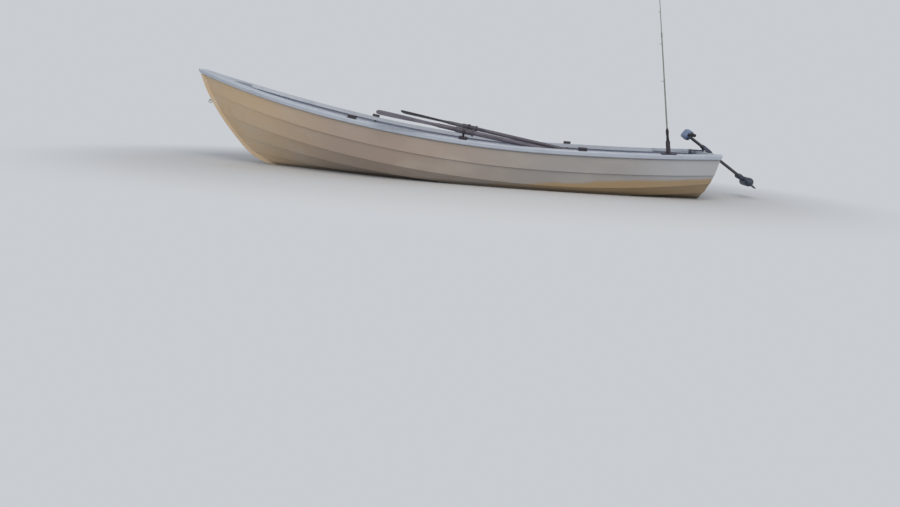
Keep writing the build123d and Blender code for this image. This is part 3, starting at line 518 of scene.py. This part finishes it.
# %% How a Geometry Nodes tree starts and ends
def new_tree(name, *sizes):
    """An empty tree with a geometry in and out, sizes, and a finish."""
    tree = bpy.data.node_groups.new(name, "GeometryNodeTree")
    tree.interface.new_socket("Places", in_out="INPUT", socket_type="NodeSocketGeometry")
    for size in sizes:
        tree.interface.new_socket(size, in_out="INPUT", socket_type="NodeSocketFloat")
    tree.interface.new_socket("Finish", in_out="INPUT", socket_type="NodeSocketMaterial")
    tree.interface.new_socket("Pieces", in_out="OUTPUT", socket_type="NodeSocketGeometry")
    return tree, add_node(tree, "NodeGroupInput").outputs


def set_on_places(tree, given, piece):
    """Sets the piece on every place, facing its way and in its size, as real mesh with its finish."""
    way = add_node(tree, "GeometryNodeInputNamedAttribute", {"Name": "facing"}, data_type="FLOAT_VECTOR")
    square = add_node(tree, "FunctionNodeAlignRotationToVector", {"Vector": way.outputs[0]}, axis="Z")
    size = add_node(tree, "GeometryNodeInputNamedAttribute", {"Name": "size"}, data_type="FLOAT")
    placed = add_node(
        tree,
        "GeometryNodeInstanceOnPoints",
        {
            "Points": given["Places"],
            "Instance": piece,
            "Rotation": square.outputs["Rotation"],
            "Scale": size.outputs[0],
        },
    )
    real = add_node(tree, "GeometryNodeRealizeInstances", {"Geometry": placed.outputs["Instances"]})
    dressed = add_node(
        tree,
        "GeometryNodeSetMaterial",
        {"Geometry": real.outputs["Geometry"], "Material": given["Finish"]},
    )
    add_node(tree, "NodeGroupOutput", {"Pieces": dressed.outputs["Geometry"]})
    print(tree.name, "tree with", len(tree.nodes), "nodes")


# %% From a tree to a plain mesh
def grown(name, tree, places, node, **sizes):
    """Runs a tree on places, each a spot, a facing and maybe a size, and returns a steel piece."""
    cloud = bpy.data.meshes.new(name + " places")
    cloud.from_pydata([place for place, *_ in places], [], [])
    facing = cloud.attributes.new("facing", "FLOAT_VECTOR", "POINT")
    facing.data.foreach_set("vector", [value for _, way, *_ in places for value in way])
    scale = cloud.attributes.new("size", "FLOAT", "POINT")
    scale.data.foreach_set("value", [rest[0] if rest else 1.0 for _, _, *rest in places])
    carrier = bpy.data.objects.new(name + " carrier", cloud)
    scene.collection.objects.link(carrier)
    modifier = carrier.modifiers.new("grow", "NODES")
    modifier.node_group = tree
    values = {"Finish": FINISHES["steel"], **sizes}
    for socket in tree.interface.items_tree:
        if socket.in_out == "INPUT" and socket.name in values:
            modifier[socket.identifier] = values[socket.name]
    evaluated = carrier.evaluated_get(bpy.context.evaluated_depsgraph_get())
    mesh = bpy.data.meshes.new_from_object(evaluated)
    bpy.data.objects.remove(carrier, do_unlink=True)
    mesh.name = name
    return fit_out(bpy.data.objects.new(name, mesh), node, FINISHES["steel"])


print("every piece that repeats is", FINISHES["steel"].name)

# %% [markdown]
# A raised screw head is a flat cone whose top is narrower than its foot. Slots are too fine to see.

# %% A tree of screw heads
HEAD_NARROWS = 0.6
screw_tree, given = new_tree("screw heads", "Radius", "Height")
narrow = maths(screw_tree, "MULTIPLY", given["Radius"], HEAD_NARROWS)
head = add_node(
    screw_tree,
    "GeometryNodeMeshCone",
    {
        "Vertices": 12,
        "Radius Top": narrow,
        "Radius Bottom": given["Radius"],
        "Depth": given["Height"],
    },
)
set_on_places(screw_tree, given, head.outputs["Mesh"])

# %% [markdown]
# The rail is held down along its whole length by a row of stainless screws, a quarter of a metre
# apart. The middle of the cap is found with rays from above, so the row follows the sheer.

# %% Screws along the rails
SCREW_SPACING = 260 * MM
FIRST_SCREW = 90 * MM
RAIL_SCREW = {"Radius": 4.5 * MM, "Height": 1.2 * MM}
SCAN_STEP = 6 * MM
SCAN_FROM = 4
SCAN_TO = 130
LEAST_HITS = 4


def rail_middle(name, x, side):
    """Middle of a rail's cap at x, or None past its ends."""
    seen = [side * SCAN_STEP * step for step in range(SCAN_FROM, SCAN_TO)]
    met = [y for y in seen if (ray := ray_down(name, x, y)) and ray[1].z > FACES_UP]
    return ray_down(name, x, (met[0] + met[-1]) / 2) if len(met) >= LEAST_HITS else None


for side_name, side in (("port", 1), ("starboard", -1)):
    rail = f"gunwale_{side_name}"
    low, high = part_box(rail)
    count = int((high.x - low.x) / SCREW_SPACING)
    found = [rail_middle(rail, low.x + FIRST_SCREW + SCREW_SPACING * step, side) for step in range(count)]
    places = [place for place in found if place]
    row = grown(f"rail_screws_{side_name}", screw_tree, places, rail, **RAIL_SCREW)
    print(row.name, len(places), "heads")

# %% [markdown]
# Each socket block has a screw in every corner of its top. The blocks are found by walking along
# the rail with rays: a run of hits is one block, and its first and last hits give its lean.

# %% Screws in the socket blocks
WALK_STEP = 4 * MM
WALK_MARGIN = 10 * MM
BLOCK_APART = 50 * MM
BLOCK_HALF = (30 * MM, 12 * MM)
BLOCK_ACROSS = [y * 10 * MM for y in range(40, 76)]
SOCKET_SCREW = {"Radius": 3.5 * MM, "Height": 1 * MM}


def block_runs(blocks, side):
    """The socket blocks of one side, each a run of hits: place along, and middle across."""
    low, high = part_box(blocks)
    steps = int((high.x - low.x + 2 * WALK_MARGIN) / WALK_STEP)
    runs = []
    for x in [low.x - WALK_MARGIN + WALK_STEP * step for step in range(steps)]:
        across = [side * y for y in BLOCK_ACROSS if ray_down(blocks, x, side * y)]
        if across and runs and x - runs[-1][-1][0] < BLOCK_APART:
            runs[-1].append((x, sum(across) / len(across)))
        elif across:
            runs.append([(x, sum(across) / len(across))])
    return runs


for side_name, side in (("port", 1), ("starboard", -1)):
    blocks = f"sockets_{side_name}"
    runs = block_runs(blocks, side)
    places = []
    for run in runs:
        first, last = run[0], run[-1]
        mid_x = (first[0] + last[0]) / 2
        mid_y = sum(y for _, y in run) / len(run)
        lean = (last[1] - first[1]) / (last[0] - first[0])
        for dx in (-BLOCK_HALF[0], BLOCK_HALF[0]):
            for dy in (-BLOCK_HALF[1], BLOCK_HALF[1]):
                place = ray_down(blocks, mid_x + dx, mid_y + dx * lean + dy)
                if place and place[1].z > FACES_UP:
                    places.append(place)
    grown(f"socket_screws_{side_name}", screw_tree, places, blocks, **SOCKET_SCREW)
    print(blocks, len(runs), "blocks", len(places), "screws")

# %% [markdown]
# Two screws at each end hold a thwart down on its cleat. The end of a seat slants with the hull, so
# rays walk outward until they miss it, and the screw stands a set distance back from there.

# %% Screws in the thwarts
THWART_SCREW = {"Radius": 4.5 * MM, "Height": 1 * MM}
OUTWARD_MM = range(100, 800, 10)
BACK_FROM_END = 26
places = []
for thwart in ("thwart_aft", "thwart_mid", "thwart_fore"):
    low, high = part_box(thwart)
    for share in (0.25, 0.75):
        x = low.x + (high.x - low.x) * share
        for side in (1, -1):
            reach = max(y for y in OUTWARD_MM if ray_down(thwart, x, side * y * MM))
            places.append(ray_down(thwart, x, side * (reach - BACK_FROM_END) * MM))
grown("thwart_screws", screw_tree, places, "thwart_mid", **THWART_SCREW)
print(len(places), "thwart screws")

# %% [markdown]
# ## Oars
# A thick ring, the button, stands at the inner end of each collar, and stops the oar from sliding
# out through its rowlock. It is moulded nylon, turned here from its section, because a ring is
# quicker to turn than to bevel.

# %% Buttons on the oars
# Millimetres along from the collar's end, and the radius
BUTTON = [(-16, 21), (-16, 31), (-13, 34), (-3, 34), (0, 31), (0, 21)]
for side_name in ("port", "starboard"):
    collar = f"oar_collar_{side_name}"
    start, end = long_axis(collar)
    button = turned(f"oar_button_{side_name}", BUTTON, start, end, hollow=True)
    fit_out(button, collar, collar_grey)
    print(button.name, [round(v, 3) for v in start])

# %% [markdown]
# The blades are shaved out of the loom: round where they leave it, then wider and thinner to a
# rounded tip, with a low ridge along the middle. They lie a little turned in their rowlocks, so
# from the side of the boat the face shows and not only the edge. Flat plates with a bevel would
# lose the ridge, so each blade is skinned over oval sections.

# %% Blades of the oars
BLADE_TURN = 16
OAR_TIP = 800
SECTION_POINTS = 16
RIDGE_SHARE = 0.55
# The ridge is fully raised where the blade is this many times as wide as thick
FLATTEST = 14
# Millimetres from the rowlock, half the width, and half the thickness at the ridge
OAR_SECTIONS = [
    (236, 17, 17),
    (260, 20, 15),
    (300, 26, 12),
    (360, 37, 10),
    (440, 50, 8.5),
    (540, 62, 7),
    (660, 68, 6),
    (OAR_TIP - 40, 70, 5),
    (OAR_TIP - 24, 66, 4.5),
    (OAR_TIP - 12, 56, 4),
    (OAR_TIP - 4, 40, 3.5),
    (OAR_TIP, 20, 3),
]


def blade_section(half_wide, half_thick):
    """Points of a section, as millimetres across and through: an oval with a ridge in the middle."""
    points = []
    for step in range(SECTION_POINTS):
        turn = math.tau * step / SECTION_POINTS
        inward = 1 - abs(math.cos(turn))
        ridge = 1 + RIDGE_SHARE * inward * (half_wide / half_thick - 1) / FLATTEST
        points.append((math.cos(turn) * half_wide, math.sin(turn) * half_thick * ridge))
    return points


for side_name, side in (("port", 1), ("starboard", -1)):
    start, end = long_axis(f"oar_collar_{side_name}")
    middle = (start + end) / 2
    along = (end - start).normalized()
    level = Vector((0, 0, 1)).cross(along).normalized()
    raised = along.cross(level)
    angle = -side * math.radians(BLADE_TURN)
    width_way = level * math.cos(angle) + raised * math.sin(angle)
    thick_way = along.cross(width_way)
    rings = []
    for reach, half_wide, half_thick in OAR_SECTIONS:
        centre = middle + along * reach * MM
        section = blade_section(half_wide, half_thick)
        rings.append([centre + (width_way * wide + thick_way * thick) * MM for wide, thick in section])
    blade = skin(f"oar_spoon_{side_name}", rings)
    fit_out(blade, f"oar_blade_{side_name}", FINISHES["oar_wood"] if side > 0 else starboard_oar)
    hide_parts(f"oar_blade_{side_name}")
    print(blade.name, "reaches", [round(v, 2) for v in middle + along * OAR_TIP * MM])

# %% [markdown]
# ## Fishing rod
# The handle is turned foam: a straight butt that slides into the holder, and a waisted fore grip
# above it. It stands for the plain cylinder of the model and keeps inside it. A lathe profile gives
# the waist directly, where a bevelled cylinder would need loop cuts.

# %% Rod handle
# Millimetres up from the butt, and the radius
GRIP = [
    (0, 11),
    (3, 13.6),
    (94, 13.6),
    (98, 12),
    (104, 12),
    (110, 13.8),
    (120, 12.6),
    (150, 10.8),
    (178, 12.4),
    (190, 13.6),
    (200, 12.6),
    (212, 9.5),
    (220, 8),
]
start, end = long_axis("rod_handle")
grip = turned("rod_grip", GRIP, start, end, sides=32)
fit_out(grip, "rod_handle", FINISHES["cork_foam"])
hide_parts("rod_handle")
print("grip", round((end - start).length, 3), "m long")

# %% [markdown]
# Guides are rings that stand off the blank on wire feet, each smaller and closer to the next towards
# the tip. One tree makes them: a ring, a foot and a whipping round the blank. It draws them for a
# ring of radius 1, and the size on each point makes the real one.

# %% A tree of rod guides
FOOT_FROM = (0.25, 0, -1.6)
FOOT_TO = (0.85, 0, -0.3)
WHIPPING_RADIUS = 0.42
WHIPPING_LONG = 1.5
WHIPPING_AT = (0, 0, -1.9)
guide_tree, given = new_tree("rod guides", "Wire", "Stand")
hoop = add_node(guide_tree, "GeometryNodeCurvePrimitiveCircle", {"Resolution": 20, "Radius": 1.0})
section = add_node(guide_tree, "GeometryNodeCurvePrimitiveCircle", {"Resolution": 6, "Radius": given["Wire"]})
ring = add_node(
    guide_tree,
    "GeometryNodeCurveToMesh",
    {"Curve": hoop.outputs["Curve"], "Profile Curve": section.outputs["Curve"]},
)
stand_off = add_node(guide_tree, "ShaderNodeCombineXYZ", {"X": given["Stand"]})
lifted = add_node(
    guide_tree,
    "GeometryNodeTransform",
    {"Geometry": ring.outputs["Mesh"], "Translation": stand_off.outputs[0]},
)
foot = add_node(guide_tree, "GeometryNodeCurvePrimitiveLine", {"Start": FOOT_FROM, "End": FOOT_TO})
foot_wire = add_node(
    guide_tree,
    "GeometryNodeCurveToMesh",
    {"Curve": foot.outputs["Curve"], "Profile Curve": section.outputs["Curve"], "Fill Caps": True},
)
whipping = add_node(
    guide_tree,
    "GeometryNodeMeshCylinder",
    {"Vertices": 12, "Radius": WHIPPING_RADIUS, "Depth": WHIPPING_LONG},
)
bound = add_node(
    guide_tree, "GeometryNodeTransform", {"Geometry": whipping.outputs["Mesh"], "Translation": WHIPPING_AT}
)
guide = add_node(guide_tree, "GeometryNodeJoinGeometry")
for part in (lifted, foot_wire, bound):
    guide_tree.links.new(part.outputs[0], guide.inputs[0])
set_on_places(guide_tree, given, guide.outputs[0])

# %% [markdown]
# A rod of this length has seven or eight guides, and their spacing shortens toward the tip, where
# the blank bends most. The blank's own axis carries them.

# %% Guides along the blank
# Metres from the handle, and the ring's radius in millimetres
GUIDES = [(0.42, 12), (0.74, 9.5), (1.01, 7.5), (1.24, 6), (1.43, 5), (1.59, 4.5), (1.72, 4), (1.82, 3.5)]
blank_low, blank_high = long_axis("rod_blank")
rod_way = (blank_high - blank_low).normalized()
places = [(blank_low + rod_way * reach, rod_way, radius * MM) for reach, radius in GUIDES]
grown("rod_guides", guide_tree, places, "rod_blank", Wire=0.13, Stand=1.5)
print(len(places), "guides up to", [round(v, 2) for v in places[-1][0]])

# %% [markdown]
# ## Outboard
# The motor's own pieces are laid out in its steering frame: X to where the head points, which is to
# port as it is stored, Z up the shaft, and the origin where shaft and bracket meet. The numbers in
# it are millimetres. One function turns them into places in the boat, so no piece has to be turned
# after it is made.

# %% Steering frame
steer = next(joint for joint in frame["joints"] if joint["name"] == "motor_steer")
steer_up = Vector(steer["axis"])
steer_front = Vector((0, 1, 0))
steer_side = steer_up.cross(steer_front)
HEAD_UP = 245
POD_DOWN = 545


def at(front, side, up):
    """A place in the steering frame, in metres in the boat."""
    return Vector(steer["pos_m"]) + (steer_front * front + steer_side * side + steer_up * up) * MM


print("shaft meets bracket at", [round(v, 3) for v in at(0, 0, 0)])

# %% [markdown]
# The head is a tray and a lid, moulded with soft corners and a step between them. A box with a bevel
# would round every edge alike; lofting it through rounded rectangles, each a share of the full
# outline at its height, gives the flat sides, the step and the crowned lid.

# %% Head casing
HEAD_LONG = 132
HEAD_WIDE = 92
HEAD_CORNER = 24
HEAD_FORWARD = 8
CORNER_STEPS = 7
# Height from the middle of the head, and the share of the outline there
HEAD_SECTIONS = [
    (-39, 0.9),
    (-36, 0.96),
    (-31, 1.0),
    (-3, 1.0),
    (-2, 0.965),
    (2, 0.965),
    (3, 1.0),
    (14, 0.99),
    (22, 0.965),
    (29, 0.91),
    (34, 0.83),
    (37.5, 0.72),
    (39, 0.56),
]


def rounded_ring(share, up):
    """A rounded rectangle at a height of the head."""
    ring = []
    for quarter, (x_side, y_side) in enumerate(((1, 1), (-1, 1), (-1, -1), (1, -1))):
        for step in range(CORNER_STEPS):
            angle = math.pi / 2 * (quarter + step / (CORNER_STEPS - 1))
            front = x_side * (HEAD_LONG / 2 - HEAD_CORNER) + HEAD_CORNER * math.cos(angle)
            side = y_side * (HEAD_WIDE / 2 - HEAD_CORNER) + HEAD_CORNER * math.sin(angle)
            ring.append(at(HEAD_FORWARD + front * share, side * share, HEAD_UP + up))
    return ring


head_casing = skin("head_casing", [rounded_ring(share, up) for up, share in HEAD_SECTIONS])
fit_out(head_casing, "motor_head", FINISHES["motor_dark"])
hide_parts("motor_head")
print("head of", len(head_casing.data.polygons), "faces")

# %% [markdown]
# The tiller is hinged on the head by a boss, and ends in a ribbed rubber grip that is twisted to set
# the speed. The ribs run round it, so they are steps in one turned profile, written by a loop.

# %% Tiller
# The profile is millimetres along from the head, and the radius
TILLER_ROOT = HEAD_FORWARD + HEAD_LONG / 2 + 0.5
TILLER_UP = HEAD_UP - 6
TILLER_ARM = 80
GRIP_LONG = 110
RIBS = 11
RIB_FROM = 6
RIB_MARGINS = 14
RIB_VALLEY = 14.2
RIB_CREST = 15.8
# Where a rib's crest starts and ends, as shares of its pitch
CREST_FROM = 0.25
CREST_TO = 0.7
profile = [(0, 16), (9, 16), (12, 12), (TILLER_ARM - 4, 11.5), (TILLER_ARM, 13), (TILLER_ARM + 3, 15.5)]
pitch = (GRIP_LONG - RIB_MARGINS) / RIBS
for rib in range(RIBS):
    valley = TILLER_ARM + RIB_FROM + rib * pitch
    profile.append((valley, RIB_VALLEY))
    profile += [(valley + pitch * share, RIB_CREST) for share in (CREST_FROM, CREST_TO)]
profile += [(TILLER_ARM + GRIP_LONG - 6, 15), (TILLER_ARM + GRIP_LONG, 11)]
tiller_end = at(TILLER_ROOT + TILLER_ARM + GRIP_LONG, 0, TILLER_UP)
tiller = turned("tiller_grip", profile, at(TILLER_ROOT, 0, TILLER_UP), tiller_end, sides=32)
fit_out(tiller, "tiller", FINISHES["black_rubber"])
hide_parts("tiller")
print("tiller with", RIBS, "ribs")

# %% [markdown]
# The motor itself is in the pod: a turned shell with a blunt nose and two seams where its end caps
# meet the tube, a socket for the shaft, and a bevelled fin that guards the blades. The shell and the
# socket are lathe work. The fin is an outline skinned through four thicknesses, the outer two a
# little smaller, which bevels its edge.

# %% Pod
POD_FRONT = 120
POD_BACK = -100
# Millimetres back from the nose, and the radius
POD = [
    (0, 10),
    (2, 18),
    (8, 28),
    (18, 36.5),
    (32, 42),
    (46, 44),
    (60, 44),
    (61.5, 42.6),
    (64.5, 42.6),
    (66, 44),
    (170, 44),
    (171.5, 42.6),
    (174.5, 42.6),
    (176, 44),
    (190, 43),
    (204, 39),
    (214, 32),
    (220, 25),
]
# Millimetres up from the pod's middle, and the radius
SOCKET = [(20, 27), (52, 25), (96, 24), (106, 22), (112, 17)]
# Millimetres forward and up from the pod's middle
FIN = [(70, -40), (52, -90), (36, -112), (10, -119), (-38, -125), (-48, -118), (-60, -40)]
# Millimetres to the side, and the share of the outline there
FIN_SECTIONS = [(-3, 0.92), (-1, 1.0), (1, 1.0), (3, 0.92)]
FIN_MIDDLE = -75


def fin_outline(side, share):
    """The fin's outline at a distance to the side, drawn in toward its middle by a share."""
    drawn = [(front * share, FIN_MIDDLE + (up - FIN_MIDDLE) * share) for front, up in FIN]
    return [at(front, side, up - POD_DOWN) for front, up in drawn]


pod = turned("pod_shell", POD, at(POD_FRONT, 0, -POD_DOWN), at(POD_BACK, 0, -POD_DOWN), sides=40)
socket = turned("pod_socket", SOCKET, at(0, 0, -POD_DOWN), at(0, 0, 0), sides=32)
fin = skin("pod_fin", [fin_outline(side, share) for side, share in FIN_SECTIONS])
for piece in (pod, socket, fin):
    fit_out(piece, "motor_pod", FINISHES["motor_dark"])
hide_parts("motor_pod")
print("pod", POD_FRONT - POD_BACK, "mm long, with socket and fin")

# %% [markdown]
# The propeller has two weedless blades. Each is lofted outward from the hub: its chord widens and
# narrows again to a round tip, it gets thinner, and it untwists, because the tip moves fastest. Its
# sections are ovals, closer together toward the tip, where the outline turns.

# %% Propeller
# Millimetres back from the hub's front, and the radius
HUB = [(0, 21), (3, 22), (26, 22), (34, 19), (39, 13), (40.6, 7)]
HUB_HALF = 20.3
HUB_AT = POD_BACK - 0.3 - HUB_HALF
BLADE_ROOT = 18
BLADE_TIP = 95
BLADE_STEPS = 14
ROOT_CHORD = 22.44
CHORD_GAIN = 30.6
LEAST_CHORD = 2.88
THICK_ROOT = 5.5
THICK_TIP = 2.0
ROOT_TWIST = 46
TIP_TWIST = 24
SECTION_STEPS = 12


def vane_section(share):
    """A blade's section at a share of its length, as millimetres forward and sideways."""
    round_tip = math.sqrt(1 - share**4)
    chord = max(LEAST_CHORD, (ROOT_CHORD + CHORD_GAIN * share) * round_tip)
    thick = THICK_ROOT + (THICK_TIP - THICK_ROOT) * share
    twist = math.radians(ROOT_TWIST + (TIP_TWIST - ROOT_TWIST) * share)
    section = []
    for step in range(SECTION_STEPS):
        angle = math.tau * step / SECTION_STEPS
        along = chord / 2 * math.cos(angle)
        through = thick / 2 * math.sin(angle)
        front = through * math.cos(twist) - along * math.sin(twist)
        side = along * math.cos(twist) + through * math.sin(twist)
        section.append((front, side))
    return section


hub_front, hub_back = at(HUB_AT + HUB_HALF, 0, -POD_DOWN), at(HUB_AT - HUB_HALF, 0, -POD_DOWN)
hub = turned("propeller_hub", HUB, hub_front, hub_back, sides=32)
fit_out(hub, "propeller", FINISHES["black_plastic"])
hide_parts("propeller")
outward_shares = [math.sin(step / (BLADE_STEPS - 1) * math.pi / 2) for step in range(BLADE_STEPS)]
for number, way in enumerate((1, -1)):
    rings = []
    for share in outward_shares:
        reach = BLADE_ROOT + (BLADE_TIP - BLADE_ROOT) * share
        section = vane_section(share)
        rings.append([at(HUB_AT + front, side * way, reach * way - POD_DOWN) for front, side in section])
    blade = skin(f"propeller_blade_{number}", rings)
    fit_out(blade, "propeller", FINISHES["black_plastic"])
print("two blades, tip to tip", 2 * BLADE_TIP, "mm")

# %% [markdown]
# ## Floor at the waterline, backdrop and light
# The boat is stored afloat, so the floor lies at its waterline, with a hole where the hull goes
# through it. The hole's edge is found with rays from outside, at the floor's height. It lies a few
# millimetres inside the shell, so no gap shows and the floor doesn't cross the inside.

# %% Floor with a hole for the hull
FLOOR_FAR = 70
HOLE_UNDERCUT = 4 * MM
HOLE_FROM = -2.45
HOLE_STEP = 0.05
HOLE_STEPS = 88
LEAST_HALF = 20 * MM
CLEAR_OF_HULL = 2


def hull_edge(x):
    """Half-breadth of the shell at the waterline, or None where the ray misses."""
    hit, place, _, _ = nodes["hull_port"].ray_cast(Vector((x, CLEAR_OF_HULL, 0)), Vector((0, -1, 0)))
    return place.y if hit else None


halves = [(x, hull_edge(x)) for x in [HOLE_FROM + HOLE_STEP * step for step in range(HOLE_STEPS)]]
edge = [(x, half - HOLE_UNDERCUT) for x, half in halves if half and half > LEAST_HALF]
hole = [Vector((x, y, 0)) for x, y in edge] + [Vector((x, -y, 0)) for x, y in reversed(edge)]
outer = [Vector((x * FLOOR_FAR, y * FLOOR_FAR, 0)) for x, y in ((-1, -1), (1, -1), (1, 1), (-1, 1))]
shape = bmesh.new()
for ring in (hole, outer):
    corners = [shape.verts.new(point) for point in ring]
    for first, second in zip(corners, corners[1:] + corners[:1]):
        shape.edges.new((first, second))
bmesh.ops.triangle_fill(shape, use_beauty=True, use_dissolve=False, edges=shape.edges[:])
floor_mesh = bpy.data.meshes.new("floor")
shape.to_mesh(floor_mesh)
shape.free()
floor = bpy.data.objects.new("floor", floor_mesh)
scene.collection.objects.link(floor)
print("floor hole from", round(edge[0][0], 2), "to", round(edge[-1][0], 2))

# %% [markdown]
# One pale colour is both floor and backdrop. Near the boat the floor is matt, so it takes a shadow.
# Farther off it turns into the backdrop's own colour, but only for the camera and in shiny parts, so
# the light that it throws back on the boat stays even. A curved paper backdrop would do the same in
# a real studio, but its bend would show from the side.

# %% Floor material and backdrop
PALE = "#c9cdd2"
SHADOW_SHAPE = (0.34, 0.52, 1)
SHADOW_FROM = 0.9
SHADOW_TO = 1.6


def seen_directly(tree):
    """1 for rays from the camera, and for those that metal and glass send out."""
    rays = add_node(tree, "ShaderNodeLightPath").outputs
    seen_or_mirrored = maths(tree, "MAXIMUM", rays["Is Camera Ray"], rays["Is Glossy Ray"])
    return maths(tree, "MAXIMUM", seen_or_mirrored, rays["Is Transmission Ray"])


floor_look = bpy.data.materials.new("studio floor")
floor_look.use_nodes = True
tree = floor_look.node_tree
tree.nodes.clear()
place = add_node(tree, "ShaderNodeTexCoord")
shrunk = add_node(tree, "ShaderNodeMapping", {"Vector": place.outputs["Object"], "Scale": SHADOW_SHAPE})
away = add_node(tree, "ShaderNodeVectorMath", {0: shrunk.outputs[0]}, operation="LENGTH")
far = eased(tree, away.outputs["Value"], SHADOW_FROM, SHADOW_TO)
share = maths(tree, "MULTIPLY", far, seen_directly(tree))
matt = add_node(tree, "ShaderNodeBsdfDiffuse", {"Color": "#babdc1"})
plain = add_node(tree, "ShaderNodeEmission", {"Color": PALE})
blend = add_node(tree, "ShaderNodeMixShader", {0: share, 1: matt.outputs[0], 2: plain.outputs[0]})
add_node(tree, "ShaderNodeOutputMaterial", {"Surface": blend.outputs[0]})
floor.data.materials.append(floor_look)

world = bpy.data.worlds.new("studio")
scene.world = world
world.use_nodes = True
tree = world.node_tree
tree.nodes.clear()
soft = add_node(tree, "ShaderNodeBackground", {"Color": "#eceff4", "Strength": 0.72})
seen = add_node(tree, "ShaderNodeBackground", {"Color": PALE})
blend = add_node(
    tree, "ShaderNodeMixShader", {0: seen_directly(tree), 1: soft.outputs[0], 2: seen.outputs[0]}
)
add_node(tree, "ShaderNodeOutputWorld", {"Surface": blend.outputs[0]})
print("backdrop", PALE)

# %% [markdown]
# Three large area lamps light the boat softly, as a dull day does: a high one over the port side, a
# lower one toward the bow and a faint one for the stern, which curves away from both. Large lamps
# blur every shadow, so each lap keeps its thin dark line and nothing else turns black.


# %% Soft lamps
def lamp(name, place, aim, size, power, colour):
    """An area lamp that looks at a point."""
    data = bpy.data.lights.new(name, "AREA")
    data.size = size
    data.energy = power
    data.color = linear(colour)[:3]
    made = bpy.data.objects.new(name, data)
    made.location = place
    made.rotation_mode = "QUATERNION"
    made.rotation_quaternion = (Vector(aim) - Vector(place)).to_track_quat("-Z", "Y")
    scene.collection.objects.link(made)


# Name, place and aim in metres, size in metres, power in watts, colour
LAMPS = [
    ("key", (-1.5, 5.5, 6.0), (0, 0, 0.2), 4.5, 280, "#fff3e4"),
    ("fill", (4.5, 6.0, 2.6), (1.2, 0, 0.3), 4.0, 165, "#f6f3ee"),
    ("stern fill", (-6.5, 6.5, 1.8), (-2.0, 0.3, 0.2), 3.5, 95, "#f4f4f6"),
]
for settings in LAMPS:
    lamp(*settings)
print(len(LAMPS), "soft lamps")

# %% [markdown]
# ## Camera
# The place and turn of the camera were worked out from the photograph: the stem head, the corner of
# the transom, the two sheer lines and the rod fix it to a few pixels. Three directions give its
# turn: what is right in the picture, what is up in it, and what lies behind the camera.

# %% Camera fitted to the photograph
SENSOR_MM = 36.0
LENS_MM = 26.4
CAMERA_AT = (-0.417, 6.753, 0.693)
PICTURE_RIGHT = (-0.99578, -0.06249, 0.06717)
PICTURE_UP = (0.07894, -0.21053, 0.97440)
camera_data = bpy.data.cameras.new("camera")
camera_data.sensor_width = SENSOR_MM
camera_data.lens = LENS_MM
camera = bpy.data.objects.new("camera", camera_data)
right = Vector(PICTURE_RIGHT)
back = right.cross(Vector(PICTURE_UP)).normalized()
up = back.cross(right).normalized()
turn = Matrix((right.normalized(), up, back)).transposed()
camera.matrix_world = Matrix.Translation(Vector(CAMERA_AT)) @ turn.to_4x4()
scene.collection.objects.link(camera)
scene.camera = camera
print("camera at", [round(v, 2) for v in camera.location])
